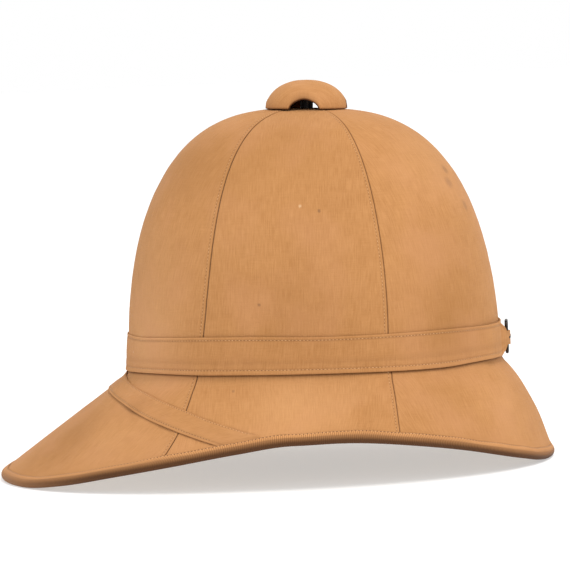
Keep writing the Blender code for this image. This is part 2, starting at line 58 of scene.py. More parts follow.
BUCKLE_HEIGHT, BUCKLE_WIDTH, BUCKLE_WIRE, BUCKLE_CORNER, BUCKLE_STAND = 0.020, 0.017, 0.002, 0.0025, 0.0006
PRONG_WIRE, PRONG_TIP = 0.0012, 0.001
STRIP_UPPER_TURN, STRIP_LOWER_TURN = math.radians(83.5), math.radians(73.6)
VENT_HOLE = 0.018
CAP_DIAMETER, CAP_HEIGHT, CAP_WALL, NOTCH_HEIGHT = 0.050, 0.017, 0.0015, 0.0052

SLAB = COVER + GAP + BODY_WALL
EDGE_ROUND = SLAB / 2 + GAP + RIBBON
CROWN_RISE = CROWN_TOP_Z - CROWN_FOOT_Z
SEAMS = (0.0, SIDE_SEAM_FRONT, SIDE_SEAM_REAR, math.pi, TURN - SIDE_SEAM_REAR, TURN - SIDE_SEAM_FRONT, TURN)
PROBE = 0.001

# Height of the edge's underside along the brim: share of the half length, share of the arch's rise
ARCH_ROWS = (
    # along, height
    (-1.00, 0.000),
    (-0.88, 0.000),
    (-0.72, 0.116),
    (-0.52, 0.357),
    (-0.30, 0.609),
    (-0.08, 0.849),
    (0.12, 1.000),
    (0.32, 0.996),
    (0.50, 0.860),
    (0.70, 0.597),
    (0.88, 0.225),
    (0.96, 0.030),
    (1.00, -0.014),
)

# The brow strip's edges: share along, then shares of the end turns and of the way down to the binding
STRIP_ROWS = (
    # along, upper_turn, upper_down, lower_turn, lower_down
    (0.00, 0.000, -0.012, 0.000, 0.150),
    (0.25, 0.300, 0.050, 0.345, 0.200),
    (0.45, 0.545, 0.165, 0.546, 0.300),
    (0.65, 0.745, 0.395, 0.740, 0.510),
    (0.83, 0.895, 0.715, 0.880, 0.738),
    (1.00, 1.000, 1.000, 1.000, 1.000),
)

# How the band's edges wander from even ones, in millimetres: degrees from the front, its top, its foot
BAND_ROWS = (
    # turn, top, foot
    (0, -0.9, -1.8),
    (20, -0.6, -1.4),
    (30, -0.7, -0.7),
    (47, 0.3, 0.1),
    (62, 1.2, 0.2),
    (76, 1.4, 0.5),
    (100, 0.5, 0.4),
    (133, 0.6, -0.3),
    (146, 0.2, 0.4),
    (157, -0.2, 0.6),
    (180, -0.5, 0.0),
)

# The cap's outside from its top to its rim: share of the radius, share of the height
CAP_ROWS = ((0.00, 1.000), (0.25, 0.975), (0.48, 0.885), (0.68, 0.735), (0.84, 0.520), (0.95, 0.260), (1.00, 0.000))


# ---- the helmet's surface, as the frame has it

def unit(vectors):
    return vectors / np.linalg.norm(vectors, axis=-1, keepdims=True)


def smooth(low, high, value):
    """Rises softly from 0 at low to 1 at high."""
    share = np.clip((value - low) / (high - low), 0, 1)
    return share * share * (3 - 2 * share)


def hump(value, middle, width):
    """A bell shape of height one."""
    return np.exp(-((value - middle) / width) ** 2)


def travelled(points):
    """How far along a line each of its points lies."""
    return np.concatenate([[0], np.cumsum(np.linalg.norm(np.diff(points, axis=0), axis=1))])


def joined(points):
    """A line that comes back to its start."""
    return np.concatenate([points, points[:1]])


def tube_uvs(travel, section):
    """The cloth map of a tube: how far along it, and how far round its section."""
    return np.stack(np.broadcast_arrays(travel[:, None], travelled(joined(section))[None, :]), -1)


def curve_through(xs, ys, at):
    """A smooth curve through a table, with no overshoot."""
    xs, ys = np.asarray(xs, float), np.asarray(ys, float)
    slopes = np.diff(ys) / np.diff(xs)
    tangents = np.concatenate([[slopes[0]], (slopes[1:] + slopes[:-1]) / 2, [slopes[-1]]])
    flat = np.concatenate([[False], slopes[1:] * slopes[:-1] <= 0, [False]])
    tangents = np.where(flat, 0, tangents)
    place = np.clip(np.searchsorted(xs, at, side="right") - 1, 0, len(xs) - 2)
    width = xs[place + 1] - xs[place]
    t = np.clip((at - xs[place]) / width, 0, 1)
    return (
        (1 + 2 * t) * (1 - t) ** 2 * ys[place]
        + t * (1 - t) ** 2 * width * tangents[place]
        + t ** 2 * (3 - 2 * t) * ys[place + 1]
        + t ** 2 * (t - 1) * width * tangents[place + 1]
    )


def oval(turn, front, rear, half_width, power):
    ahead, aside = np.cos(turn), np.sin(turn)
    reach = np.where(ahead > 0, front, rear)
    scale = (np.abs(ahead) ** power + np.abs(aside) ** power) ** (-1 / power)
    return half_width * aside * scale, -reach * ahead * scale


def crown_point(turn, down):
    """A point of the crown's cloth; down runs from 0 at the pole to 1 at the foot."""
    angle = down * math.pi / 2
    reach = np.sin(angle) ** (2 / RADIAL_POWER)
    rise = np.clip(np.cos(angle), 0, None) ** (2 / HEIGHT_POWER)
    swing = FOOT_SWING * np.sin(turn) * (1 + np.cos(turn)) / 2 * down ** FOOT_SWING_POWER
    x, y = oval(turn - swing, CROWN_LENGTH / 2, CROWN_LENGTH / 2, CROWN_WIDTH / 2, PLAN_POWER)
    lean = y * reach * math.tan(TOP_LEAN) * (1 - reach)
    middle = POLE_Y + (CROWN_Y - POLE_Y) * reach
    return np.stack([x * reach, y * reach + middle, CROWN_FOOT_Z + CROWN_RISE * rise - lean], -1)


def crown_down(height):
    share = np.clip((height - CROWN_FOOT_Z) / CROWN_RISE, 0, 1)
    return np.arccos(share ** (HEIGHT_POWER / 2)) / (math.pi / 2)


def reach_down(reach):
    return math.asin((reach / (CROWN_LENGTH / 2)) ** (RADIAL_POWER / 2)) / (math.pi / 2)


def edge_arch(y):
    along, heights = zip(*ARCH_ROWS)
    return ARCH_RISE * curve_through(along, heights, y / (BRIM_LENGTH / 2))


def edge_centre(turn):
    """The middle of the brim's thickness at its edge."""
    swung = turn + EDGE_SWING * np.sin(turn) * ((1 + np.cos(turn)) / 2) ** 2
    front = BRIM_LENGTH / 2 + BRIM_WIDEST_Y - EDGE_ROUND
    rear = BRIM_LENGTH / 2 - BRIM_WIDEST_Y - EDGE_ROUND
    power = np.where(np.cos(swung) > 0, FRONT_POWER, REAR_POWER)
    x, y = oval(swung, front, rear, BRIM_WIDTH / 2 - EDGE_ROUND, power)
    y = y + BRIM_WIDEST_Y
    return np.stack([x, y, edge_arch(y) + EDGE_ROUND - REST_SINK], -1)


def edge_frame(turn):
    """The edge's middle, with the directions out of the cloth and down the brim."""
    centre = edge_centre(turn)
    down = unit(centre - crown_point(turn, np.ones_like(turn)))
    along = unit(edge_centre(turn + PROBE) - edge_centre(turn - PROBE))
    return centre, unit(np.cross(down, along)), down


def brim_point(turn, down):
    centre, out, _ = edge_frame(turn)
    foot = crown_point(turn, np.ones_like(turn))
    bow = REAR_BOW * np.clip(-np.cos(turn), 0, None) ** 2 * down * (1 - down) ** 2 * 27 / 4
    return foot + (centre + out * SLAB / 2 - foot) * down[..., None] + out * bow[..., None]


def skin(turn, down):
    """A point of the cloth: down is 0 at the pole, 1 at the crown's foot, 2 at the brim's edge."""
    turn, down = np.broadcast_arrays(np.asarray(turn, float), np.asarray(down, float))
    ones = np.ones_like(down)
    above = np.full_like(down, crown_down(CROWN_FOOT_Z + FOOT_FILLET))
    below = FOOT_FILLET / np.linalg.norm(brim_point(turn, ones) - brim_point(turn, ones * 0), axis=-1)
    on_crown = down < 1
    crown = crown_point(turn, np.clip(down, 0, 1))
    plain = np.where(on_crown[..., None], crown, brim_point(turn, np.clip(down - 1, 0, 1)))
    upper = np.clip((down - above) / (1 - above), 0, 1) / 2
    lower = (1 + np.clip((down - 1) / below, 0, 1)) / 2
    share = np.where(on_crown, upper, lower)[..., None]
    fillet = (
        (1 - share) ** 2 * crown_point(turn, above)
        + 2 * share * (1 - share) * crown_point(turn, ones)
        + share ** 2 * brim_point(turn, below)
    )
    inside = ((down > above) & (down < 1 + below))[..., None]
    return np.where(inside, fillet, plain)


def skin_out(turn, down):
    turn, down = np.broadcast_arrays(np.asarray(turn, float), np.asarray(down, float))
    around = skin(turn + PROBE, down) - skin(turn - PROBE, down)
    along = skin(turn, np.clip(down + PROBE, 0, 2)) - skin(turn, np.clip(down - PROBE, 0, 2))
    return unit(np.cross(along, around))


def lifted(turn, down, out):
    return skin(turn, down) + skin_out(turn, down) * np.asarray(out)[..., None]


HOLE_DOWN = reach_down(VENT_HOLE / 2)


# ---- small unevenness of cloth that was pressed on by hand

def waves(points, size, seed, count=14):
    """Smooth seeded unevenness between about -1 and 1, with lumps of a given size in metres."""
    draw = np.random.default_rng(seed)
    total = np.zeros(points.shape[:-1])
    for _ in range(count):
        heading = unit(draw.normal(size=3))
        length = size * draw.uniform(0.7, 1.8)
        total += np.sin(points @ heading * (TURN / length) + draw.uniform(0, TURN))
    return total / math.sqrt(count)


# ---- meshes

def add_object(name, data):
    made = bpy.data.objects.new(name, data)
    bpy.context.scene.collection.objects.link(made)
    return made


def mesh_from(name, points, faces, uvs=None, marks=None):
    """A smooth mesh from points, quads and triangles; uvs are given for each face corner."""
    mesh = bpy.data.meshes.new(name)
    mesh.from_pydata(np.asarray(points, float).tolist(), [], faces)
    mesh.shade_smooth()
    if uvs is not None:
        layer = mesh.uv_layers.new(name="cloth")
        layer.uv.foreach_set("vector", np.asarray(uvs, np.float32).ravel())
    for label, values in (marks or {}).items():
        attribute = mesh.attributes.new(label, "FLOAT", "POINT")
        attribute.data.foreach_set("value", np.asarray(values, np.float32).ravel())
    return add_object(name, mesh)


# Painted light and shade on the cloth, lighter where light falls and darker where shade falls: x, y, z, radius,
# lighter or darker
PAINTED_LIGHT_AND_SHADE_SPOTS = (
    (0.055, -0.067, 0.074, 0.018, 0.35),
    (0.062, 0.111, 0.072, 0.020, -0.28),
    (0.057, 0.108, 0.129, 0.032, -0.28),
    (0.019, -0.017, 0.209, 0.018, 0.20),
    (0.054, -0.055, 0.141, 0.034, 0.40),
    (0.055, -0.067, 0.086, 0.030, 0.80),
    (0.050, -0.128, 0.021, 0.024, -0.50),
    (0.048, -0.108, 0.035, 0.024, -0.45),
    (0.000, -0.128, 0.028, 0.030, -0.25),
    (0.107, 0.062, 0.041, 0.009, -0.40),
    (0.083, 0.105, 0.043, 0.016, -0.30),
    (0.045, -0.036, 0.184, 0.042, -0.75),
    (0.057, 0.027, 0.196, 0.032, -0.55),
    (0.039, 0.098, 0.178, 0.030, 0.30),
    (0.092, 0.024, 0.096, 0.026, -0.45),
    (0.063, 0.109, 0.087, 0.030, -0.60),
    (0.105, 0.017, 0.048, 0.024, 0.55),
    (0.103, 0.049, 0.048, 0.020, 0.30),
    (0.071, -0.074, 0.046, 0.009, -0.70),
    (0.090, -0.059, 0.040, 0.007, -0.25),
    (0.055, 0.138, 0.033, 0.024, 0.20),
    (0.083, -0.090, 0.029, 0.022, 0.20),
    (0.081, -0.006, 0.144, 0.022, 0.15),
    (0.083, 0.124, 0.021, 0.016, -0.30),
)


def painted_light_and_shade(points):
    """How much painted light (above zero) and painted shade (below zero) the cloth has at each point; the far side is
    painted like the near one.
    """
    total = np.zeros(np.shape(points)[:-1])
    for x, y, z, radius, amount in PAINTED_LIGHT_AND_SHADE_SPOTS:
        for side in (1, -1):
            away = np.linalg.norm(points - np.array([x * side, y, z]), axis=-1)
            total += amount * np.exp(-(away / radius) ** 2)
    return total


def grid(name, points, uvs, marks=None, wrap_rows=False, wrap_columns=False, cap=False):
    """A mesh of quads from points[row, column]. uvs has one more row or column where the grid wraps."""
    rows, columns = points.shape[:2]
    last_row, last_column = rows - (not wrap_rows), columns - (not wrap_columns)
    row, column = [part.ravel() for part in np.meshgrid(range(last_row), range(last_column), indexing="ij")]
    corners = [(row, column), (row + 1, column), (row + 1, column + 1), (row, column + 1)]
    faces = np.stack([(a % rows) * columns + b % columns for a, b in corners], -1)
    spread = np.stack([uvs[a, b] for a, b in corners], 1).reshape(-1, 2)
    faces = faces.tolist()
    if cap:
        # The grid is a tube whose columns go round it: both ends are closed.
        first = list(range(columns))
        final = [(rows - 1) * columns + number for number in range(columns)]
        faces += [first, final[::-1]]
        ends = [uvs[0, number] for number in first] + [uvs[rows - 1, number] for number in first[::-1]]
        spread = np.concatenate([spread, ends])
    flat = {label: np.ravel(values) for label, values in {"painted_light_and_shade": painted_light_and_shade(points), **(marks or {})}.items()}
    return mesh_from(name, points.reshape(-1, 3), faces, spread, flat)


def put(piece, finish, slot, *nodes):
    """Gives a piece its finish and its place in the frame."""
    piece.data.materials.append(finish)
    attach(piece, "root")
    if nodes:
        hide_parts(*nodes)
    return piece


def solid(piece, thickness):
    """Gives a sheet a wall behind its face."""
    wall = piece.modifiers.new("wall", "SOLIDIFY")
    wall.thickness, wall.offset, wall.use_even_offset = thickness, -1, True
    return piece


# ---- gores

NEAR_SEAM = np.array([0, 0.12, 0.26, 0.45, 0.75, 1.1, 1.5, 1.9, 2.3, 2.8, 3.5, 4.3, 5.2, 6.4]) * MM
NARROW = 0.030
GORE_MIDDLE = 56
FRONT_STITCHED = ((True, True), (False, True), (False, True), (False, False), (True, False), (True, False))
STITCH_IN = 1.9 * MM

# Soft dents in the brim and the crown: x, y, z, radius, depth
DENTS = (
    (0.104, 0.034, 0.049, 0.012, 0.0007),
    (0.105, 0.061, 0.043, 0.013, 0.0009),
    (0.068, -0.073, 0.049, 0.009, 0.0005),
    (0.097, -0.057, 0.035, 0.011, 0.0005),
    (0.065, -0.122, 0.019, 0.018, 0.0006),
    (0.105, 0.012, 0.048, 0.012, 0.0004),
    (0.084, 0.102, 0.045, 0.016, 0.0006),
    (0.090, 0.010, 0.130, 0.030, 0.0006),
    (0.060, 0.100, 0.150, 0.030, 0.0006),
    (-0.090, 0.040, 0.120, 0.030, 0.0006),
    (-0.110, 0.020, 0.044, 0.015, 0.0007),
    (-0.070, -0.080, 0.044, 0.014, 0.0006),
)

# Slow unevenness of the cloth: height, size of its lumps, seed
WAVES = ((0.16 * MM, 0.075, 3), (0.06 * MM, 0.022, 5), (0.02 * MM, 0.007, 8))
SETTLED = 0.1 * MM

# The cloth lies no lower and no higher than this, because the pressed body is close under it
LOWEST, HIGHEST = -1.0 * MM, 0.26 * MM

# The rear of the brim stands out by SWELL: middle in z, half heights in z and x, start and full height in y
SWELL, SWELL_Z, SWELL_TALL, SWELL_WIDE, SWELL_Y = 1.2 * MM, 0.023, 0.014, 0.06, (0.09, 0.13)

# Soft creases in the brim: both ends, half width, depth
CREASES = (
    ((0.060, -0.090, 0.046), (0.078, -0.070, 0.046), 0.0040, 0.00055),
    ((0.078, -0.084, 0.041), (0.092, -0.066, 0.041), 0.0035, 0.00045),
    ((0.084, -0.078, 0.036), (0.103, -0.062, 0.033), 0.0040, 0.00055),
    ((0.055, -0.120, 0.026), (0.080, -0.100, 0.026), 0.0060, 0.00040),
    ((0.098, 0.020, 0.056), (0.108, 0.030, 0.046), 0.0045, 0.00040),
    ((0.100, 0.050, 0.052), (0.106, 0.068, 0.040), 0.0050, 0.00050),
    ((-0.090, -0.060, 0.042), (-0.104, -0.040, 0.040), 0.0050, 0.00050),
)


def gore_rows():
    crown = np.linspace(HOLE_DOWN, 0.97, 120)
    foot = np.concatenate([np.linspace(0.97, 1.03, 31)[1:], np.linspace(1.03, 1.12, 10)[1:]])
    brim = np.linspace(1.12, 2.0, 44)[1:]
    return np.concatenate([crown, foot, brim])


def seam_shape(distance, stitched):
    """Height of the cloth beside a seam, and how much painted shade lies in its groove and along its stitches."""
    edge = -0.38 * MM * np.exp(-(distance / (0.24 * MM)) ** 2)
    dark = np.exp(-(distance / (0.3 * MM)) ** 2)
    if not stitched:
        return edge, dark
    raised = 0.2 * MM * (1 - smooth(3.6 * MM, 5.4 * MM, distance))
    groove_and_painted_shade = -0.14 * MM * hump(distance, STITCH_IN, 0.5 * MM)
    return edge + raised + groove_and_painted_shade, dark + 0.25 * hump(distance, STITCH_IN, 0.45 * MM)


def seam_turns(number, downs):
    """Where a seam runs; the side seams wander a little over the brim, alike on both sides."""
    front = np.radians(curve_through((0.9, 0.94, 1.0, 1.3, 1.65, 2.0), (0, 0, -0.5, 0.5, 1.5, 0.7), downs))
    rear = np.radians(np.interp(downs, (0.94, 1.0, 2.0), (0, 1.0, -1.9)))
    return SEAMS[number] + front * ((number == 1) - (number == 5)) + rear * ((number == 2) - (number == 4))


def gore(number):
    """One gore: (turns, downs, heights, uvs, painted seam shade) on a grid that is finest beside its seams."""
    downs = gore_rows()
    start, stop = seam_turns(number, downs)[:, None], seam_turns(number + 1, downs)[:, None]
    line = skin(start + (stop - start) * np.linspace(0, 1, 40), downs[:, None])
    width = np.linalg.norm(np.diff(line, axis=1), axis=-1).sum(1)
    near = NEAR_SEAM[None, :] * np.clip(width / NARROW, 0, 1)[:, None]
    inner = np.linspace(0, 1, GORE_MIDDLE + 2)[1:-1]
    middle = near[:, -1:] + (width[:, None] - 2 * near[:, -1:]) * inner[None, :]
    places = np.concatenate([near, middle, width[:, None] - near[:, ::-1]], axis=1)
    shares = places / width[:, None]
    gap = 0.03 * MM / width[:, None]
    turns = start + (stop - start) * (gap + shares * (1 - 2 * gap))
    left, dark_left = seam_shape(places, FRONT_STITCHED[number][0])
    right, dark_right = seam_shape(width[:, None] - places, FRONT_STITCHED[number][1])
    grid_downs = np.broadcast_to(downs[:, None], turns.shape)
    points = skin(turns, grid_downs)
    height = left + right + soft_height(points)
    centre = skin((start + stop)[:, 0] / 2, downs)
    length = travelled(centre)
    uvs = np.stack([places - width[:, None] / 2, np.broadcast_to(length[:, None], places.shape)], -1)
    height = np.clip(height, LOWEST, HIGHEST) + rear_swell(points)
    return turns, grid_downs, height, uvs, dark_left + dark_right


def rear_swell(points):
    """How far the rear of the brim stands out from the frame's."""
    x, y, z = np.moveaxis(points, -1, 0)
    return SWELL * np.exp(-((z - SWELL_Z) / SWELL_TALL) ** 2 - (x / SWELL_WIDE) ** 2) * smooth(*SWELL_Y, y)


def soft_height(points):
    """Slow unevenness, small lumps and dents in the pressed body under the cloth."""
    height = sum(tall * waves(points, size, seed) for tall, size, seed in WAVES) - SETTLED
    for x, y, z, radius, depth in DENTS:
        height -= depth * np.exp(-(np.linalg.norm(points - [x, y, z], axis=-1) / radius) ** 2)
    for start, stop, width, depth in CREASES:
        start, along = np.array(start), np.subtract(stop, start)
        share = np.clip((points - start) @ along / (along @ along), 0, 1)
        away = np.linalg.norm(points - start - share[..., None] * along, axis=-1)
        height -= depth * np.exp(-(away / width) ** 2) * (0.35 + 0.65 * np.sin(share * math.pi))
    return height


def make_gores(finish):
    for number in range(len(FRONT_STITCHED)):
        turns, downs, height, uvs, dark = gore(number)
        points = lifted(turns, downs, height)
        # Painted shadow under the band: a dark line on the gores just below the band's lower edge.
        ahead = REAR_Y - crown_point(turns, np.full_like(turns, BAND_DOWN))[..., 1]
        foot = BAND_FOOT_Z + BAND_SLOPE * ahead + band_shift(turns, -0.5)
        dark = dark + 1.2 * hump(points[..., 2], foot - 0.3 * MM, 0.8 * MM)
        made = grid(f"cloth_gore_{number + 1}", points, uvs, {"groove_and_painted_shade": dark})
        put(solid(made, COVER * 0.8), finish, "cloth", f"cover_gore_{number + 1}")


# ---- stitches

PITCH = 2.1 * MM
CORNERS = 6
RIBBON_DOWN = 1.985

# The stitches of each line: length, thickness, how deep they sit, the size of the holes between them
SEAM_STITCH = (1.35 * MM, 0.30 * MM, 0.05 * MM, 0.38 * MM)
RIBBON_STITCH = (1.25 * MM, 0.30 * MM, 0.05 * MM, 0.75 * MM)
STRIP_STITCH = (1.35 * MM, 0.28 * MM, 0.06 * MM, 0.50 * MM)
BAND_STITCH = (1.35 * MM, 0.30 * MM, 0.05 * MM, 0.60 * MM)

# A stitch from end to end: shares of its length and its width, drop in thicknesses
STITCH_RINGS = (
    (-0.50, 0.25, -0.90),
    (-0.42, 0.75, -0.35),
    (-0.20, 1.00, 0.00),
    (0.20, 1.00, 0.00),
    (0.42, 0.75, -0.35),
    (0.50, 0.25, -0.90),
)


def stitch_places(points, seed):
    """How far along a line its points and each stitch's middle lie, with a hand's small unevenness."""
    draw = np.random.default_rng(seed)
    travel = travelled(points)
    count = int(travel[-1] / PITCH)
    return travel, (np.arange(count) + 0.5) * PITCH + draw.normal(0, PITCH * 0.03, count)


def along_line(places, travel, table):
    return np.stack([np.interp(places, travel, table[:, axis]) for axis in range(3)], -1)


def circles(side, over, count):
    """A circle of radius one for each pair of directions, as count points."""
    angles = np.arange(count) * TURN / count
    return side[:, None, :] * np.cos(angles)[None, :, None] + over[:, None, :] * np.sin(angles)[None, :, None]


def repeated(faces, size, vertices):
    """The faces of one small form, again for every form of that many corners in vertices."""
    return [tuple(corner + base for corner in face) for base in range(0, len(vertices), size) for face in faces]


def hole_run(points, outs, size, seed):
    """The needle holes between the stitches of a line, each a small dimple; its near-black finish is painted shade.
    """
    travel, middles = stitch_places(points, seed)
    middles = middles[:-1] + np.diff(middles) / 2
    centre = along_line(middles, travel, points)
    out = unit(along_line(middles, travel, outs))
    side = unit(np.cross(out, [0.31, 0.22, 0.92]))
    ring = centre[:, None, :] + out[:, None, :] * 0.03 * MM
    ring = ring + size / 2 * circles(side, np.cross(out, side), CORNERS)
    ends = np.stack([centre + out * 0.05 * MM, centre - out * 0.1 * MM], 1)
    vertices = np.concatenate([ring, ends], 1).reshape(-1, 3)
    one = [(number, (number + 1) % CORNERS, CORNERS) for number in range(CORNERS)]
    one += [(after, number, CORNERS + 1) for number, after, _ in one]
    return vertices, repeated(one, CORNERS + 2, vertices)


def thread_run(points, outs, length, thick, sink, seed):
    """Short rounded stitches along a line; outs are the directions out of the cloth."""
    travel, middles = stitch_places(points, seed)
    draw = np.random.default_rng(seed + 100)
    count = len(middles)
    centre = along_line(middles, travel, points)
    before, after = (along_line(middles + way * length / 2, travel, points) for way in (-1, 1))
    ahead = unit(after - before)
    out = unit(along_line(middles, travel, outs))
    side = unit(np.cross(ahead, out)) + out * draw.normal(0, 0.1, count)[:, None]
    ahead = unit(ahead + side * draw.normal(0, 0.05, count)[:, None])
    angles = np.arange(CORNERS) * TURN / CORNERS
    vertices, one = [], []
    for number, (place, width, drop) in enumerate(STITCH_RINGS):
        ring = centre[:, None, :] + ahead[:, None, :] * length * place
        ring = ring + out[:, None, :] * (drop * thick - sink)
        ring = ring + side[:, None, :] * (np.cos(angles) * width * thick / 2)[None, :, None]
        ring = ring + out[:, None, :] * (np.sin(angles) * width * thick / 2)[None, :, None]
        vertices.append(ring)
        if number:
            low, high = (number - 1) * CORNERS, number * CORNERS
            for corner in range(CORNERS):
                turned = (corner + 1) % CORNERS
                one.append((low + corner, low + turned, high + turned, high + corner))
    vertices = np.stack(vertices, 1).reshape(-1, 3)
    size = len(STITCH_RINGS) * CORNERS
    one += [tuple(range(CORNERS))[::-1], tuple(range(size - CORNERS, size))]
    return vertices, repeated(one, size, vertices)


def stitched(name, runs, finish, slot):
    """One mesh from several runs of stitches."""
    vertices, faces, base = [], [], 0
    for points, run_faces in runs:
        vertices.append(points)
        faces += [tuple(corner + base for corner in face) for face in run_faces]
        base += len(points)
    put(mesh_from(name, np.concatenate(vertices), faces), finish, slot)


def make_stitches(name, lines, stitch, finish, hole_finish, slot):
    """The stitches and needle holes of some lines, each given as points, directions out and a seed."""
    length, thick, sink, hole = stitch
    runs, holes = [], []
    for points, outs, seed in lines:
        runs.append(thread_run(points, outs, length, thick, sink, seed))
        holes.append(hole_run(points, outs, hole, seed))
    stitched(f"{name}_stitches", runs, finish, slot)
    stitched(f"{name}_holes", holes, hole_finish, slot)


def seam_lines():
    """The lines beside the stitched seams, down to the ribbon."""
    for number, sides in enumerate(FRONT_STITCHED):
        for at_end, wanted in enumerate(sides):
            if not wanted:
                continue
            turns, downs, height, _, _ = gore(number)
            column = NEAR_SEAM.tolist().index(STITCH_IN)
            column = -1 - column if at_end else column
            keep = downs[:, column] < RIBBON_DOWN
            turn, down = turns[keep, column], downs[keep, column]
            yield lifted(turn, down, height[keep, column]), skin_out(turn, down), 20 + number


# ---- brim binding

# The ribbon is pulled tight, so it lies closer to the cloth than the frame's even wall
RIBBON_ROUND = EDGE_ROUND - REST_SINK


def ribbon_wave(turn):
    """Slow unevenness of the ribbon's upper edge."""
    return 0.25 * MM * np.sin(7 * turn + 0.6) + 0.18 * MM * np.sin(17 * turn + 2.0) + 0.12 * MM * np.sin(31 * turn)


def binding_section(turn, angle, leg, out_by):
    """A point of the folded ribbon: angle 0 is the top face, pi the underside."""
    centre, out, down = edge_frame(turn)
    radius = RIBBON_ROUND + out_by
    upper = np.where(angle < math.pi / 2, ribbon_wave(turn), 0)
    reach = radius * np.cos(angle)
    fall = radius * np.sin(angle) - leg - np.where(leg > 0, upper, 0)
    points = centre + out * reach[..., None] + down * fall[..., None]
    points[..., 2] = np.maximum(points[..., 2], 0)
    return points


def make_binding(finish):
    turns = np.arange(1500) * TURN / 1500
    bend = np.linspace(0, math.pi, 15)
    flat = np.zeros_like(bend)
    outer_angle = np.concatenate([[0] * 5, bend, [math.pi] * 3])
    outer_leg = np.concatenate([[1.0, 0.93, 0.8, 0.55, 0.25], flat, [0.4, 0.8, 1.0]]) * BINDING_LEG
    outer_out = np.concatenate([[-0.6, -0.36, -0.28, -0.2, -0.1], flat, [-0.1, -0.28, -0.6]]) * MM
    inner_angle = np.concatenate([[math.pi], bend[::-2], [0]])
    inner_leg = np.concatenate([[1.0], flat[::-2], [1.0]]) * BINDING_LEG
    inner_out = np.full(len(inner_angle), -0.72 * MM)
    turn, angle, leg, out_by = np.broadcast_arrays(
        turns[:, None],
        np.concatenate([outer_angle, inner_angle]),
        np.concatenate([outer_leg, inner_leg]),
        np.concatenate([outer_out, inner_out]),
    )
    points = binding_section(turn, angle, leg, out_by)
    uvs = tube_uvs(travelled(joined(edge_centre(turns))), points[0])
    # Painted shade on the ribbon: darker over its bend and underside and at its upper edge, fully dark on its inner
    # faces, with less shade towards the front.
    painted_ribbon_shade = 0.55 + 0.45 * smooth(0, math.radians(60), outer_angle)
    painted_ribbon_shade[:5] = 0.9, 0.15, 0.0, 0.0, 0.15
    off_front = 0.55 + 0.45 * smooth(math.radians(15), math.radians(50), np.arccos(np.cos(turn)))
    groove_and_painted_shade = np.concatenate([painted_ribbon_shade, np.ones(len(inner_angle))]) * off_front
    marks = {"groove_and_painted_shade": groove_and_painted_shade, "painted_light_and_shade": np.zeros(turn.shape)}
    made = grid("edge_ribbon", points, uvs, marks, wrap_rows=True, wrap_columns=True)
    put(made, finish, "ribbon", "brim_binding")


def ribbon_lines():
    """The line near the ribbon's upper edge, all round."""
    turns = np.linspace(0, TURN, 2000)
    _, out, _ = edge_frame(turns)
    leg, out_by = np.full_like(turns, BINDING_LEG - 0.7 * MM), np.full_like(turns, -0.3 * MM)
    yield binding_section(turns, np.zeros_like(turns), leg, out_by), out, 40


# ---- folded cloth strips

def strip_section(thick):
    """A folded strip's cross-section: (level from -0.5 to 0.5, height over its inner face) all the way round."""
    levels = np.array([
        -0.5, -0.497, -0.485, -0.46, -0.43, -0.40, -0.375, -0.35, -0.31, -0.25, -0.18, -0.1, -0.02,
        0.06, 0.13, 0.2, 0.26, 0.32, 0.36, 0.39, 0.415, 0.44, 0.465, 0.485, 0.497, 0.5,
    ])
    outer = np.full(len(levels), thick)
    outer[[0, -1]] = thick * 0.45
    outer[[1, -2]] = thick * 0.82
    inner_levels = np.array([0.49, 0.3, 0.1, -0.1, -0.3, -0.49])
    return np.concatenate([levels, inner_levels]), np.concatenate([outer, np.zeros(6)])


def strip_edge(share, turns, end_turn, downs):
    along = [row[0] for row in STRIP_ROWS]
    turn = curve_through(along, turns, share) * end_turn
    foot = crown_point(turn, np.ones_like(turn))
    free = 1 - (BINDING_LEG - 1.0 * MM) / np.linalg.norm(edge_centre(turn) - foot, axis=-1)
    return turn, 1 + curve_through(along, downs, share) * free


def strip_place(way, level):
    """The turn and down of a place on the brow strip: way from -1 to 1 along it, level -0.5 at its lower edge."""
    _, upper_turns, upper_downs, lower_turns, lower_downs = zip(*STRIP_ROWS)
    upper_turn, upper_down = strip_edge(np.abs(way), upper_turns, STRIP_UPPER_TURN, upper_downs)
    lower_turn, lower_down = strip_edge(np.abs(way), lower_turns, STRIP_LOWER_TURN, lower_downs)
    across = level + 0.5
    turn = (lower_turn + (upper_turn - lower_turn) * across) * np.sign(way)
    return turn, lower_down + (upper_down - lower_down) * across


# The strip lies closer to the cloth than in the frame, and its ends pass under the ribbon
STRIP_LIFT, STRIP_THICK, STRIP_GROOVE = 0.15 * MM, 1.0 * MM, 0.12 * MM
STRIP_LOW, STRIP_HIGH = -0.38, 0.42


def strip_sink(way):
    """How much of the strip's thickness is left towards its ends."""
    return 1 - 0.88 * smooth(0.955, 0.99, np.abs(way))


def strip_relief(way, level):
    """Soft puckers and folds along the strip."""
    pucker = 0.12 * MM * np.sin(way * 55 + 3 * level) * np.sin(way * 17 + 1)
    fold = -0.25 * MM * hump(level, 0.05 + 0.12 * np.sin(way * 6), 0.16)
    return pucker + fold - 0.5 * STRIP_THICK * smooth(0.44, 0.49, level)


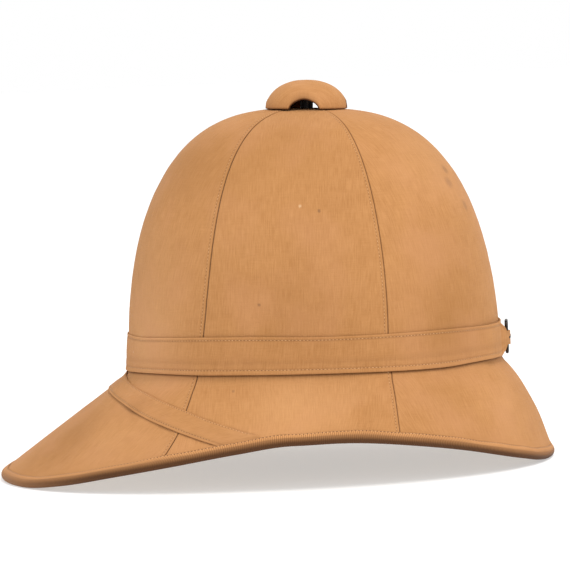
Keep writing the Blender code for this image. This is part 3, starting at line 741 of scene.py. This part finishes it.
def make_brow_strip(finish):
    levels, heights = strip_section(STRIP_THICK)
    way, level = np.meshgrid(np.linspace(-1, 1, 420), levels, indexing="ij")
    turn, down = strip_place(way, level)
    heights = np.broadcast_to(heights, way.shape)
    outer = heights > 0.5 * MM
    low, high = hump(level, STRIP_LOW, 0.04), hump(level, STRIP_HIGH, 0.03)
    lift = heights + np.where(outer, strip_relief(way, level) - STRIP_GROOVE * (low + high), 0)
    points = lifted(turn, down, (STRIP_LIFT + lift) * strip_sink(way))
    uvs = tube_uvs(travelled(points[:, 6]), points[0])
    # Painted shade: a dark line along the lower stitch line, a faint one along the upper, and shade on the strip's
    # inner face.
    dark = np.where(outer, 0.35 * low + 0.1 * high, np.where(level > 0.4, 0.1, 0.6))
    made = grid("brow_strip_cloth", points, uvs, {"groove_and_painted_shade": dark}, wrap_columns=True, cap=True)
    put(made, finish, "cloth", "brow_strip")


def strip_lines():
    """The lines near the strip's upper and lower edges."""
    way = np.linspace(-0.955, 0.955, 900)
    for place, seed in ((STRIP_HIGH, 50), (STRIP_LOW, 51)):
        level = np.full_like(way, place)
        turn, down = strip_place(way, level)
        lift = STRIP_LIFT + STRIP_THICK + strip_relief(way, level) - STRIP_GROOVE
        yield lifted(turn, down, lift), skin_out(turn, down), seed


# ---- hat band and buckle

TONGUE_OUT = GAP + BAND_CLOTH / 2
LAP_OUT = TONGUE_OUT + BAND_CLOTH + GAP
BAR_OUT = GAP + BAND_CLOTH + BUCKLE_STAND + PRONG_WIRE + GAP + BUCKLE_WIRE / 2
LOOP_RADIUS = BUCKLE_WIRE / 2 + GAP + BAND_CLOTH / 2
TAIL_OUT = BAR_OUT - LOOP_RADIUS
OVER_TAIL_OUT = TAIL_OUT + BAND_CLOTH + GAP
BAND_Z = BAND_FOOT_Z + BAND_HEIGHT / 2
BAND_DOWN = crown_down(BAND_Z)
BAR_X = (BUCKLE_WIDTH - BUCKLE_WIRE) / 2
BAND_HALF = BAND_CLOTH / 2
NECK_SHARE = BAND_NECK / BAND_HEIGHT
BAND_LOW, BAND_HIGH = -0.375, 0.415
REAR_Y = crown_point(np.array(math.pi), np.array(BAND_DOWN))[1]


def rear_point(x, out):
    turns = np.linspace(math.pi - 1, math.pi + 1, 401)
    points = lifted(turns, BAND_DOWN, np.full_like(turns, out))
    return np.array([x, np.interp(-x, -points[:, 0], points[:, 1]), BAND_Z])


def band_path():
    """The band's run, finely stepped: travel, turn, distance out, share of full height, uprightness."""
    fine = np.linspace(math.pi - 1, 3 * math.pi, 3601)
    points = crown_point(fine, np.full_like(fine, BAND_DOWN))
    travel = travelled(points)
    travel = travel - np.interp(math.pi, fine, travel)
    whole = travel[-1]
    loop = whole - BAR_X
    tail = loop - BAND_TAIL
    keys = np.array((
        (-BAND_TUCK, TONGUE_OUT, 1, 0),
        (whole - BAND_TUCK - BAND_LIFT_RUN, TONGUE_OUT, 1, 0),
        (whole - BAND_TUCK, LAP_OUT, 1, 0),
        (tail - BAND_NECK_RUN / 2, LAP_OUT, 1, 0),
        (tail, OVER_TAIL_OUT, (1 + NECK_SHARE) / 2, 0.5),
        (loop - BUCKLE_WIRE * 2, OVER_TAIL_OUT + BUCKLE_WIRE / 2, NECK_SHARE, 1),
    ))
    long_run = np.arange(keys[0, 0], keys[3, 0] - 1e-6, 1.25 * MM)
    places = np.concatenate([long_run, np.linspace(keys[3, 0], keys[-1, 0], 26)])
    columns = [np.interp(places, keys[:, 0], keys[:, number]) for number in (1, 2, 3)]
    return places, np.interp(places, travel, fine), *columns


def crease_level(places):
    """Where the pressed crease runs on the band."""
    return -0.17 + 0.02 * np.sin(places * 23)


def band_relief(places, level):
    """Folded edges, stitch grooves and a soft pressed crease in the band's face."""
    crease = -0.2 * MM * hump(level, crease_level(places), 0.06)
    bead = 0.10 * MM * hump(level, 0.465, 0.03) + 0.10 * MM * hump(level, -0.455, 0.035)
    grooves = -0.16 * MM * (hump(level, BAND_HIGH, 0.022) + hump(level, BAND_LOW, 0.022))
    return crease + bead + grooves + 0.05 * MM * np.sin(places * 410 + level * 9) * hump(level, 0.4, 0.2)


def band_shift(turn, level):
    """How far the band's edges wander up or down."""
    turns, tops, feet = zip(*BAND_ROWS)
    around = np.degrees(np.arccos(np.cos(turn)))
    top, foot = curve_through(turns, tops, around), curve_through(turns, feet, around)
    return MM * (foot + (top - foot) * (level + 0.5))


def band_point(turn, level, height_share, upright, out):
    """A place of the band: level from -0.5 at its lower edge to 0.5 at its upper edge."""
    ahead = REAR_Y - crown_point(turn, np.full_like(turn, BAND_DOWN))[..., 1]
    height = BAND_Z + BAND_SLOPE * ahead + level * BAND_HEIGHT * height_share + band_shift(turn, level)
    sloped = lifted(turn, crown_down(height), out)
    plumb = lifted(turn, np.full_like(turn, BAND_DOWN), out)
    points = sloped + (plumb - sloped) * upright[..., None]
    points[..., 1] += 1.4 * MM * level * smooth(0.75, 1, np.cos(turn))
    points[..., 2] = height
    return points


def make_band(finish):
    levels, heights = strip_section(BAND_CLOTH)
    spread = np.broadcast_arrays(*[values[:, None] for values in band_path()], levels)
    places, turn, out, share, upright, level = spread
    outer = np.broadcast_to(heights > BAND_HALF, places.shape)
    relief = np.where(outer, band_relief(places, level), 0)
    run = band_point(turn, level, share, upright, out - BAND_HALF + heights[None, :] + relief)
    bar = rear_point(BAR_X, BAR_OUT)
    neck = BAND_Z + levels * BAND_HEIGHT * NECK_SHARE
    radius = LOOP_RADIUS - BAND_HALF + heights
    loop = []
    for angle in np.radians(90) + math.pi * np.arange(1, 19) / 18:
        loop.append(np.stack([bar[0] + radius * math.cos(angle), bar[1] + radius * math.sin(angle), neck], -1))
    for part in np.linspace(0.1, 1.0, 10):
        x, y, _ = rear_point(BAR_X + BAND_TAIL * part, TAIL_OUT)
        loop.append(np.stack([np.full(len(levels), x), y + BAND_HALF - heights, neck], -1))
    points = np.concatenate([run, np.array(loop)])
    uvs = tube_uvs(travelled(points[:, 12]), points[0])
    # Painted shade: dark lines beside the stitch lines near the upper and lower edges, a soft dark line in the
    # pressed crease, and shade on the band's inner face and loop.
    crease = 0.16 * hump(level, crease_level(places), 0.07) * smooth(0.05, 0.12, places)
    dark = 0.38 * hump(level, 0.405, 0.025) + 0.2 * hump(level, -0.355, 0.03) + crease
    dark = np.where(outer, dark, 0.7)
    dark = np.concatenate([dark, np.broadcast_to(dark[-1], (len(loop), len(levels)))])
    made = grid("band_cloth", points, uvs, {"groove_and_painted_shade": dark}, wrap_columns=True, cap=True)
    put(made, finish, "cloth", "hat_band")


def band_lines():
    """The lines near the band's upper and lower edges, up to where it narrows."""
    places, turn, out, share, upright = band_path()
    keep = (places > 2 * MM) & (share > 0.98)
    for place, seed in ((BAND_HIGH, 60), (BAND_LOW, 61)):
        level = np.full(len(places), place)
        points = band_point(turn, level, share, upright, out + BAND_HALF + band_relief(places, level))
        yield points[keep], skin_out(turn[keep], BAND_DOWN), seed


WIRE_CORNERS = 14


def wire(name, line, thick, closed, finish, node, up=(0, 0, 1)):
    """A round wire along a line of points."""
    line = np.asarray(line, float)
    if closed:
        ahead = unit(np.roll(line, -1, axis=0) - np.roll(line, 1, axis=0))
    else:
        ahead = unit(np.gradient(line, axis=0))
    side = unit(np.cross(ahead, np.broadcast_to(np.asarray(up, float), ahead.shape)))
    points = line[:, None, :] + thick / 2 * circles(side, np.cross(side, ahead), WIRE_CORNERS)
    along, around = np.arange(len(line) + closed) * thick, np.arange(WIRE_CORNERS + 1) * thick / 4
    uvs = np.stack(np.meshgrid(along, around, indexing="ij"), -1)
    made = grid(name, points, uvs, None, wrap_rows=closed, wrap_columns=True, cap=not closed)
    put(made, finish, "metal", node)


def make_buckle(finish):
    bar = rear_point(BAR_X, BAR_OUT)
    half_height = (BUCKLE_HEIGHT - BUCKLE_WIRE) / 2
    line = []
    for corner, (side, end) in enumerate(((1, 1), (-1, 1), (-1, -1), (1, -1))):
        for step in range(11):
            angle = math.radians(90) * (corner + step / 10)
            x = side * (BAR_X - BUCKLE_CORNER) + BUCKLE_CORNER * math.cos(angle)
            z = BAND_Z + end * (half_height - BUCKLE_CORNER) + BUCKLE_CORNER * math.sin(angle)
            line.append((x, bar[1], z))
    fine = []
    for first, second in zip(line, line[1:] + line[:1]):
        step = np.subtract(second, first)
        count = max(1, int(np.linalg.norm(step) / (0.5 * MM)))
        fine += [np.array(first) + step * number / count for number in range(count)]
    wire("buckle_wire", fine, BUCKLE_WIRE, True, finish, "buckle_frame", up=(0, 1, 0))
    eye = BUCKLE_WIRE / 2 + GAP + PRONG_WIRE / 2
    line = []
    for step in range(31):
        angle = math.radians(215) + math.radians(235) * step / 30
        line.append(bar + eye * np.array([math.cos(angle), math.sin(angle), 0]))
    tip = bar + [-2 * BAR_X - PRONG_TIP, eye, 0]
    line += [line[-1] + (tip - line[-1]) * step / 16 for step in range(1, 17)]
    wire("buckle_tongue", line, PRONG_WIRE, False, finish, "buckle_prong")


# ---- ventilator cap

def cap_frame():
    """The middle of the cap's rim, and how far the cap leans back."""
    down = np.array(reach_down(CAP_DIAMETER / 2))
    front, rear = crown_point(np.array(0.0), down), crown_point(np.array(math.pi), down)
    tilt = math.atan2(front[2] - rear[2], rear[1] - front[1])
    axis = np.array([0, math.sin(tilt), math.cos(tilt)])
    return (front + rear) / 2 + axis * GAP, tilt


# The worn notches differ a little: heading in degrees, width, height
NOTCHES = ((0, 18.6 * MM, 5.9 * MM), (90, 11.0 * MM, 4.4 * MM), (180, 11.0 * MM, 4.6 * MM), (270, 9.0 * MM, 3.2 * MM))
CAP_COLUMNS = 288

# The cap sits higher than the frame's, and its inside goes a little below its rim
CAP_RAISED, CAP_SKIRT = 0.5 * MM, 0.45 * MM


def make_cap(finish):
    middle, tilt = cap_frame()
    radius = CAP_DIAMETER / 2
    angles = np.arange(CAP_COLUMNS) * TURN / CAP_COLUMNS
    reaches, heights = [np.array(values) for values in zip(*CAP_ROWS)]
    fine_way = np.linspace(0, 1, 200)
    spread = np.linspace(0, 1, len(reaches))
    fine_reach = curve_through(spread, reaches, fine_way)
    fine_height = curve_through(spread, heights, fine_way)
    arch = np.zeros_like(angles)
    for heading, width, tall in NOTCHES:
        ahead = np.cos(angles - math.radians(heading))
        across = np.abs(np.sin(angles - math.radians(heading))) * radius / (width / 2)
        arch += np.where(ahead > 0, tall * np.clip(1 - across ** 1.8, 0, 1) ** 0.62, 0)
    stop = np.interp(-arch / CAP_HEIGHT, -fine_height, fine_way)
    way = np.linspace(0, 1, 44)[:, None] ** 0.9
    at = stop[None, :] * way
    reach, height = np.interp(at, fine_way, fine_reach), np.interp(at, fine_way, fine_height)
    inner_reach, inner_height = reach[::-4] * (radius - CAP_WALL), height[::-4] * (CAP_HEIGHT - CAP_WALL)
    inner_height[0] = np.where(arch > 0.3 * MM, np.maximum(inner_height[0], 0), -CAP_SKIRT)
    reach, height = reach * radius, height * CAP_HEIGHT
    near_notch = np.exp(-((height - arch[None, :]) / (2.6 * MM)) ** 2) * smooth(0, 0.5, arch / NOTCH_HEIGHT)[None, :]
    pucker = 0.16 * MM * np.sin(angles * 46)[None, :] * near_notch
    reach = reach + pucker - 0.25 * MM * hump(way, 1.0, 0.03)
    # Painted shade: a dark line round the cap's foot, darker cloth round the notches, and the cap's inside painted
    # darker still.
    dark = 0.9 * hump(way, 1.0, 0.022) + 0.55 * near_notch * (arch > 0.5 * MM)[None, :]
    dark = np.concatenate([dark, 1.4 * np.ones_like(inner_reach)])
    reach = np.concatenate([reach, inner_reach])
    height = np.concatenate([height, inner_height])
    local = np.stack([reach * np.cos(angles), reach * np.sin(angles), height], -1)
    turned = np.array(Matrix.Rotation(-tilt, 3, "X"))
    points = local @ turned.T + middle + np.array([0, 0, CAP_RAISED])
    uvs = np.concatenate([local, local[:, :1]], 1)[..., :2]
    made = grid("cap_cloth", points, uvs, {"groove_and_painted_shade": dark}, wrap_columns=True)
    weld = made.modifiers.new("weld", "WELD")
    weld.merge_threshold = 0.00002
    put(made, finish, "cloth", "ventilator_cap")


# ---- moulded body

def make_body(finish):
    around = 216
    turns = np.arange(around) * TURN / around
    downs = gore_rows()
    outer = lifted(turns[None, :], downs[:, None], np.full((len(downs), around), -COVER - GAP))
    inner_downs = np.concatenate([downs[:0:-2], downs[:1]])
    inner = lifted(turns[None, :], inner_downs[:, None], np.full((len(inner_downs), around), -SLAB))
    inner += skin_out(turns[None, :], inner_downs[:, None]) * (0.1 * MM * waves(inner, 0.02, 70))[..., None]
    points = np.concatenate([outer, inner])
    uvs = np.zeros((len(points) + 1, around + 1, 2))
    uvs[..., 0] = np.linspace(0, 0.8, around + 1)[None, :]
    uvs[..., 1] = np.linspace(0, 0.6, len(points) + 1)[:, None]
    made = grid("pressed_body", points, uvs, None, wrap_rows=True, wrap_columns=True)
    put(made, finish, "pith", "body_shell")


# ---- finishes

class Nodes:
    """Small helper for building a finish from nodes."""

    def __init__(self, name):
        self.material = bpy.data.materials.new(name)
        self.material.use_nodes = True
        self.tree = self.material.node_tree

    def link(self, inputs, sockets):
        """Links outputs to a node's sockets by name or number, or sets plain values on them."""
        for key, source in inputs.items():
            if isinstance(source, (int, float, tuple)):
                sockets[key].default_value = source
            else:
                self.tree.links.new(source, sockets[key])

    def add(self, kind, inputs, **settings):
        """Adds a node and gives its outputs."""
        node = self.tree.nodes.new(kind)
        for key, value in settings.items():
            setattr(node, key, value)
        self.link(inputs, node.inputs)
        return node.outputs

    def shade(self, inputs):
        """Links or sets the shader's own sockets, and gives the finished material."""
        self.link(inputs, self.tree.nodes["Principled BSDF"].inputs)
        return self.material

    def place(self):
        return self.add("ShaderNodeTexCoord", {})["Object"]

    def attribute(self, name):
        return self.add("ShaderNodeAttribute", {}, attribute_name=name)["Fac"]

    def cloth_map(self):
        """The cloth's own map, whole and as its two directions."""
        uv = self.add("ShaderNodeUVMap", {}, uv_map="cloth")[0]
        parts = self.add("ShaderNodeSeparateXYZ", {0: uv})
        return uv, parts[0], parts[1]

    def sum(self, first, second, clamp=False):
        return self.add("ShaderNodeMath", {0: first, 1: second}, operation="ADD", use_clamp=clamp)[0]

    def times(self, first, second, clamp=False):
        return self.add("ShaderNodeMath", {0: first, 1: second}, operation="MULTIPLY", use_clamp=clamp)[0]

    def ripple(self, way, pitch):
        """A sine wave along a direction of the map."""
        return self.add("ShaderNodeMath", {0: self.times(way, TURN / pitch)}, operation="SINE")[0]

    def mix(self, share, first, second):
        return self.add("ShaderNodeMix", {0: share, 6: first, 7: second}, data_type="RGBA")[2]

    def stretch(self, vector, scale):
        return self.add("ShaderNodeMapping", {"Vector": vector, "Scale": scale})[0]

    def noise(self, vector, scale, detail=2.0, roughness=0.5):
        inputs = {"Vector": vector, "Scale": scale, "Detail": detail, "Roughness": roughness}
        return self.add("ShaderNodeTexNoise", inputs)["Fac"]

    def ramp(self, value, low, high, first=0.0, second=1.0):
        inputs = {"Value": value, "From Min": low, "From Max": high, "To Min": first, "To Max": second}
        return self.add("ShaderNodeMapRange", inputs)[0]

    def soft(self, tone, first=0.0, second=1.0):
        """The middle of a noise's range, spread from first to second."""
        return self.ramp(tone, 0.3, 0.7, first, second)

    def bump(self, height, distance, strength, before=None):
        inputs = {"Distance": distance, "Strength": strength, "Height": height}
        return self.add("ShaderNodeBump", inputs if before is None else {**inputs, "Normal": before})[0]


# The pitch of the cloth's weave and of the ribbon's ribs
WEAVE, RIB = 0.00088, 0.00108

# Marks on the cloth: x, y, z, radius, colour, share of full strength
MARKS = (
    (0.0220, 0.1089, 0.1744, 0.0030, (0.20, 0.10, 0.05), 0.40),
    (0.0285, 0.1111, 0.1669, 0.0035, (0.22, 0.11, 0.06), 0.35),
    (0.0231, 0.1198, 0.1528, 0.0032, (0.20, 0.10, 0.05), 0.35),
    (0.0797, 0.0265, 0.1591, 0.0009, (0.80, 0.58, 0.36), 0.42),
    (0.0804, 0.0374, 0.1558, 0.0010, (0.16, 0.08, 0.04), 0.60),
    (0.0897, 0.0011, 0.1039, 0.0010, (0.16, 0.08, 0.04), 0.60),
    (0.0925, -0.0159, 0.0554, 0.0010, (0.18, 0.09, 0.045), 0.42),
)


def tint(colour, red=1, green=1, blue=1):
    """A colour with each of its parts changed by a factor."""
    return (colour[0] * red, colour[1] * green, colour[2] * blue, 1)


def cloth_finish(name, dark, light):
    made = Nodes(name)
    uv, across, along = made.cloth_map()
    place = made.place()
    weave = made.times(made.ripple(across, WEAVE), made.ripple(along, WEAVE))
    warp = made.noise(made.stretch(uv, (1600, 110, 1)), 1.0)
    weft = made.noise(made.stretch(uv, (110, 1600, 1)), 1.0)
    slub = made.sum(made.times(warp, 1.45), made.times(weft, 0.55))
    slow = made.noise(place, 14.0, 3.0, 0.55)
    mottle = made.noise(place, 120.0, 3.0, 0.6)
    fine = made.noise(place, 900.0, 2.0, 0.6)
    share = made.sum(made.soft(slow, 0.0, 0.45), made.soft(mottle, 0.0, 0.25))
    share = made.sum(share, made.ramp(slub, 0.7, 1.3, -0.1, 0.55), clamp=True)
    colour = made.mix(share, tint(dark), tint(light))
    # Painted light and shade: the cloth is mixed towards a paler, bluer tint where light is painted and towards a
    # deeper brown where shade is painted.
    wear_and_painted_shading = made.attribute("painted_light_and_shade")
    colour = made.mix(made.times(wear_and_painted_shading, 0.6, clamp=True), colour, tint(light, 1.22, 1.34, 1.62))
    colour = made.mix(made.times(wear_and_painted_shading, -0.6, clamp=True), colour, tint(dark, 0.78, 0.75, 0.62))
    blush = made.ramp(made.noise(place, 26.0), 0.45, 0.7, 0.0, 0.35)
    colour = made.mix(blush, colour, tint(light, 1.03, 1.02, 1.3))
    ragged = made.ramp(made.noise(place, 1100.0, 3.0, 0.7), 0.25, 0.75, 0.55, 1.45)
    for x, y, z, radius, mark, strength in MARKS:
        reach = made.add("ShaderNodeVectorMath", {0: place, 1: (x, y, z)}, operation="DISTANCE")["Value"]
        reach = made.times(reach, ragged)
        colour = made.mix(made.ramp(reach, radius * 1.3, radius * 0.5, 0.0, strength), colour, tint(mark))
    # Painted shade: the mesh's shade mask mixes the cloth towards a deep brown in seams, under edges, inside the cap
    # and on hidden faces.
    groove_and_painted_shade = made.times(made.attribute("groove_and_painted_shade"), 0.75, clamp=True)
    colour = made.mix(groove_and_painted_shade, colour, tint(dark, 0.3, 0.24, 0.2))
    normal = made.bump(weave, 0.00006, 0.7)
    normal = made.bump(slub, 0.00022, 0.6, normal)
    normal = made.bump(fine, 0.0002, 0.35, normal)
    return made.shade({
        "Base Color": colour,
        "Normal": normal,
        "Roughness": made.soft(slow, 0.82, 0.95),
        "Specular IOR Level": 0.25,
        "Sheen Weight": 0.04,
        "Sheen Roughness": 0.45,
        "Sheen Tint": (1.0, 0.86, 0.7, 1),
    })


def ribbon_finish(name, dark, light):
    made = Nodes(name)
    uv, across, _ = made.cloth_map()
    rib = made.ripple(across, RIB)
    slow = made.noise(made.place(), 22.0, 3.0)
    thread = made.noise(made.stretch(uv, (300, 2500, 1)), 1.0)
    share = made.sum(made.soft(slow, 0.0, 0.6), made.ramp(rib, -1.0, 1.0, -0.5, 0.6), clamp=True)
    colour = made.mix(share, tint(dark), tint(light))
    # Painted shade: the mesh's shade mask mixes the ribbon towards near-black on its underside and inner faces.
    groove_and_painted_shade = made.times(made.attribute("groove_and_painted_shade"), 0.97, clamp=True)
    return made.shade({
        "Base Color": made.mix(groove_and_painted_shade, colour, tint(dark, 0.20, 0.17, 0.16)),
        "Normal": made.bump(thread, 0.00008, 0.5, made.bump(rib, 0.00014, 0.9)),
        "Roughness": made.soft(slow, 0.5, 0.68),
        "Specular IOR Level": 0.15,
    })


def thread_finish(name, dark, light):
    made = Nodes(name)
    place = made.place()
    tone = made.soft(made.noise(place, 300.0))
    return made.shade({
        "Base Color": made.mix(tone, tint(dark), tint(light)),
        "Normal": made.bump(made.noise(place, 5000.0, 1.0), 0.0001, 0.5),
        "Roughness": 0.75,
    })


def pith_finish(name):
    made = Nodes(name)
    place = made.place()
    grain = made.add("ShaderNodeTexVoronoi", {"Vector": place, "Scale": 420.0})["Distance"]
    tone = made.noise(place, 60.0, 4.0, 0.6)
    share = made.sum(made.soft(tone, 0.0, 0.6), made.ramp(grain, 0.0, 0.8, 0.0, 0.4))
    return made.shade({
        "Base Color": made.mix(share, (0.36, 0.24, 0.13, 1), (0.6, 0.46, 0.3, 1)),
        "Normal": made.bump(tone, 0.0006, 0.3, made.bump(grain, 0.0003, 0.4)),
        "Roughness": 0.92,
    })


def metal_finish(name):
    made = Nodes(name)
    tone = made.noise(made.place(), 700.0, 4.0, 0.6)
    wear_and_painted_shading = made.ramp(tone, 0.55, 0.66)
    return made.shade({
        "Base Color": made.mix(wear_and_painted_shading, (0.018, 0.015, 0.014, 1), (0.11, 0.07, 0.045, 1)),
        "Roughness": made.soft(tone, 0.3, 0.6),
        "Normal": made.bump(tone, 0.0001, 0.4),
        "Metallic": 0.7,
    })


# ---- floor, lights and camera

def make_stage():
    floor = bpy.data.meshes.new("floor")
    far = 30.0
    floor.from_pydata([(-far, -far, 0), (far, -far, 0), (far, far, 0), (-far, far, 0)], [], [(0, 1, 2, 3)])
    floor.materials.append(Nodes("pale_floor").shade({
        "Base Color": (0.62, 0.62, 0.62, 1),
        "Roughness": 0.9,
        "Specular IOR Level": 0.1,
        "Emission Color": (1, 1, 1, 1),
        "Emission Strength": 0.45,
    }))
    add_object("floor", floor)
    world = bpy.data.worlds.new("studio")
    world.use_nodes = True
    world.node_tree.nodes["Background"].inputs["Color"].default_value = (1.0, 1.0, 1.0, 1)
    world.node_tree.nodes["Background"].inputs["Strength"].default_value = 1.0
    bpy.context.scene.world = world


def add_light(name, place, size, power, colour):
    """A round lamp that faces the hat's middle."""
    data = bpy.data.lights.new(name, "AREA")
    data.shape = "DISK"
    data.size = size
    data.energy = power
    data.color = colour
    made = add_object(name, data)
    made.location = place
    made.rotation_euler = (Vector((0, 0.01, 0.1)) - Vector(place)).to_track_quat("-Z", "Y").to_euler()


# The photo's view: what the middle of the picture shows, how far round from +X and how far off the eye is,
# its height, the picture's roll, and the width that it takes in at the hat
AIM = np.array([0, 0.0095, 0.1083])
HEADING, DISTANCE, EYE_Z, ROLL = math.radians(4.5), 1.9, 0.2447, math.radians(2.7)
PICTURE_WIDTH, SENSOR = 0.342, 36.0


def make_camera():
    eye = AIM + np.array([math.cos(HEADING), math.sin(HEADING), 0]) * DISTANCE
    eye[2] = EYE_Z
    forward = unit(AIM - eye)
    right = unit(np.cross(forward, [0, 0, 1]))
    up = np.cross(right, forward)
    right, up = math.cos(ROLL) * right - math.sin(ROLL) * up, math.sin(ROLL) * right + math.cos(ROLL) * up
    data = bpy.data.cameras.new("camera")
    data.sensor_width = SENSOR
    data.lens = SENSOR * float(np.linalg.norm(AIM - eye)) / PICTURE_WIDTH
    data.clip_end = 100
    made = add_object("camera", data)
    turned = Matrix((right, up, -forward)).transposed().to_4x4()
    made.matrix_world = Matrix.Translation(eye) @ turned
    bpy.context.scene.camera = made


def main():
    cloth = cloth_finish("tan_drill", (0.385, 0.170, 0.0525), (0.505, 0.243, 0.089))
    ribbon = ribbon_finish("tan_grosgrain", (0.40, 0.178, 0.060), (0.66, 0.320, 0.125))
    thread = thread_finish("tan_thread", (0.50, 0.27, 0.12), (0.74, 0.46, 0.24))
    # Painted shade: the needle holes get a near-black finish that stands in for the shade inside them.
    hole_shade = thread_finish("needle_hole_shade", (0.10, 0.045, 0.018), (0.17, 0.08, 0.035))
    make_body(pith_finish("pressed_pith"))
    make_gores(cloth)
    make_stitches("seam", seam_lines(), SEAM_STITCH, thread, hole_shade, "cloth")
    make_binding(ribbon)
    make_stitches("ribbon", ribbon_lines(), RIBBON_STITCH, thread, hole_shade, "ribbon")
    make_brow_strip(cloth)
    make_stitches("strip", strip_lines(), STRIP_STITCH, thread, hole_shade, "cloth")
    make_band(cloth)
    make_stitches("band", band_lines(), BAND_STITCH, thread, hole_shade, "cloth")
    metal = metal_finish("blackened_metal")
    make_buckle(metal)
    make_cap(cloth)
    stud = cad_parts["ventilator_stud"]
    for slot in stud.material_slots:
        slot.material = metal
    make_stage()
    add_light("key", (0.95, 0.75, 2.35), 1.2, 36, (1.0, 0.98, 0.95))
    make_camera()
    bpy.context.scene.view_settings.view_transform = "Standard"
    bpy.context.scene.view_settings.look = "None"


main()
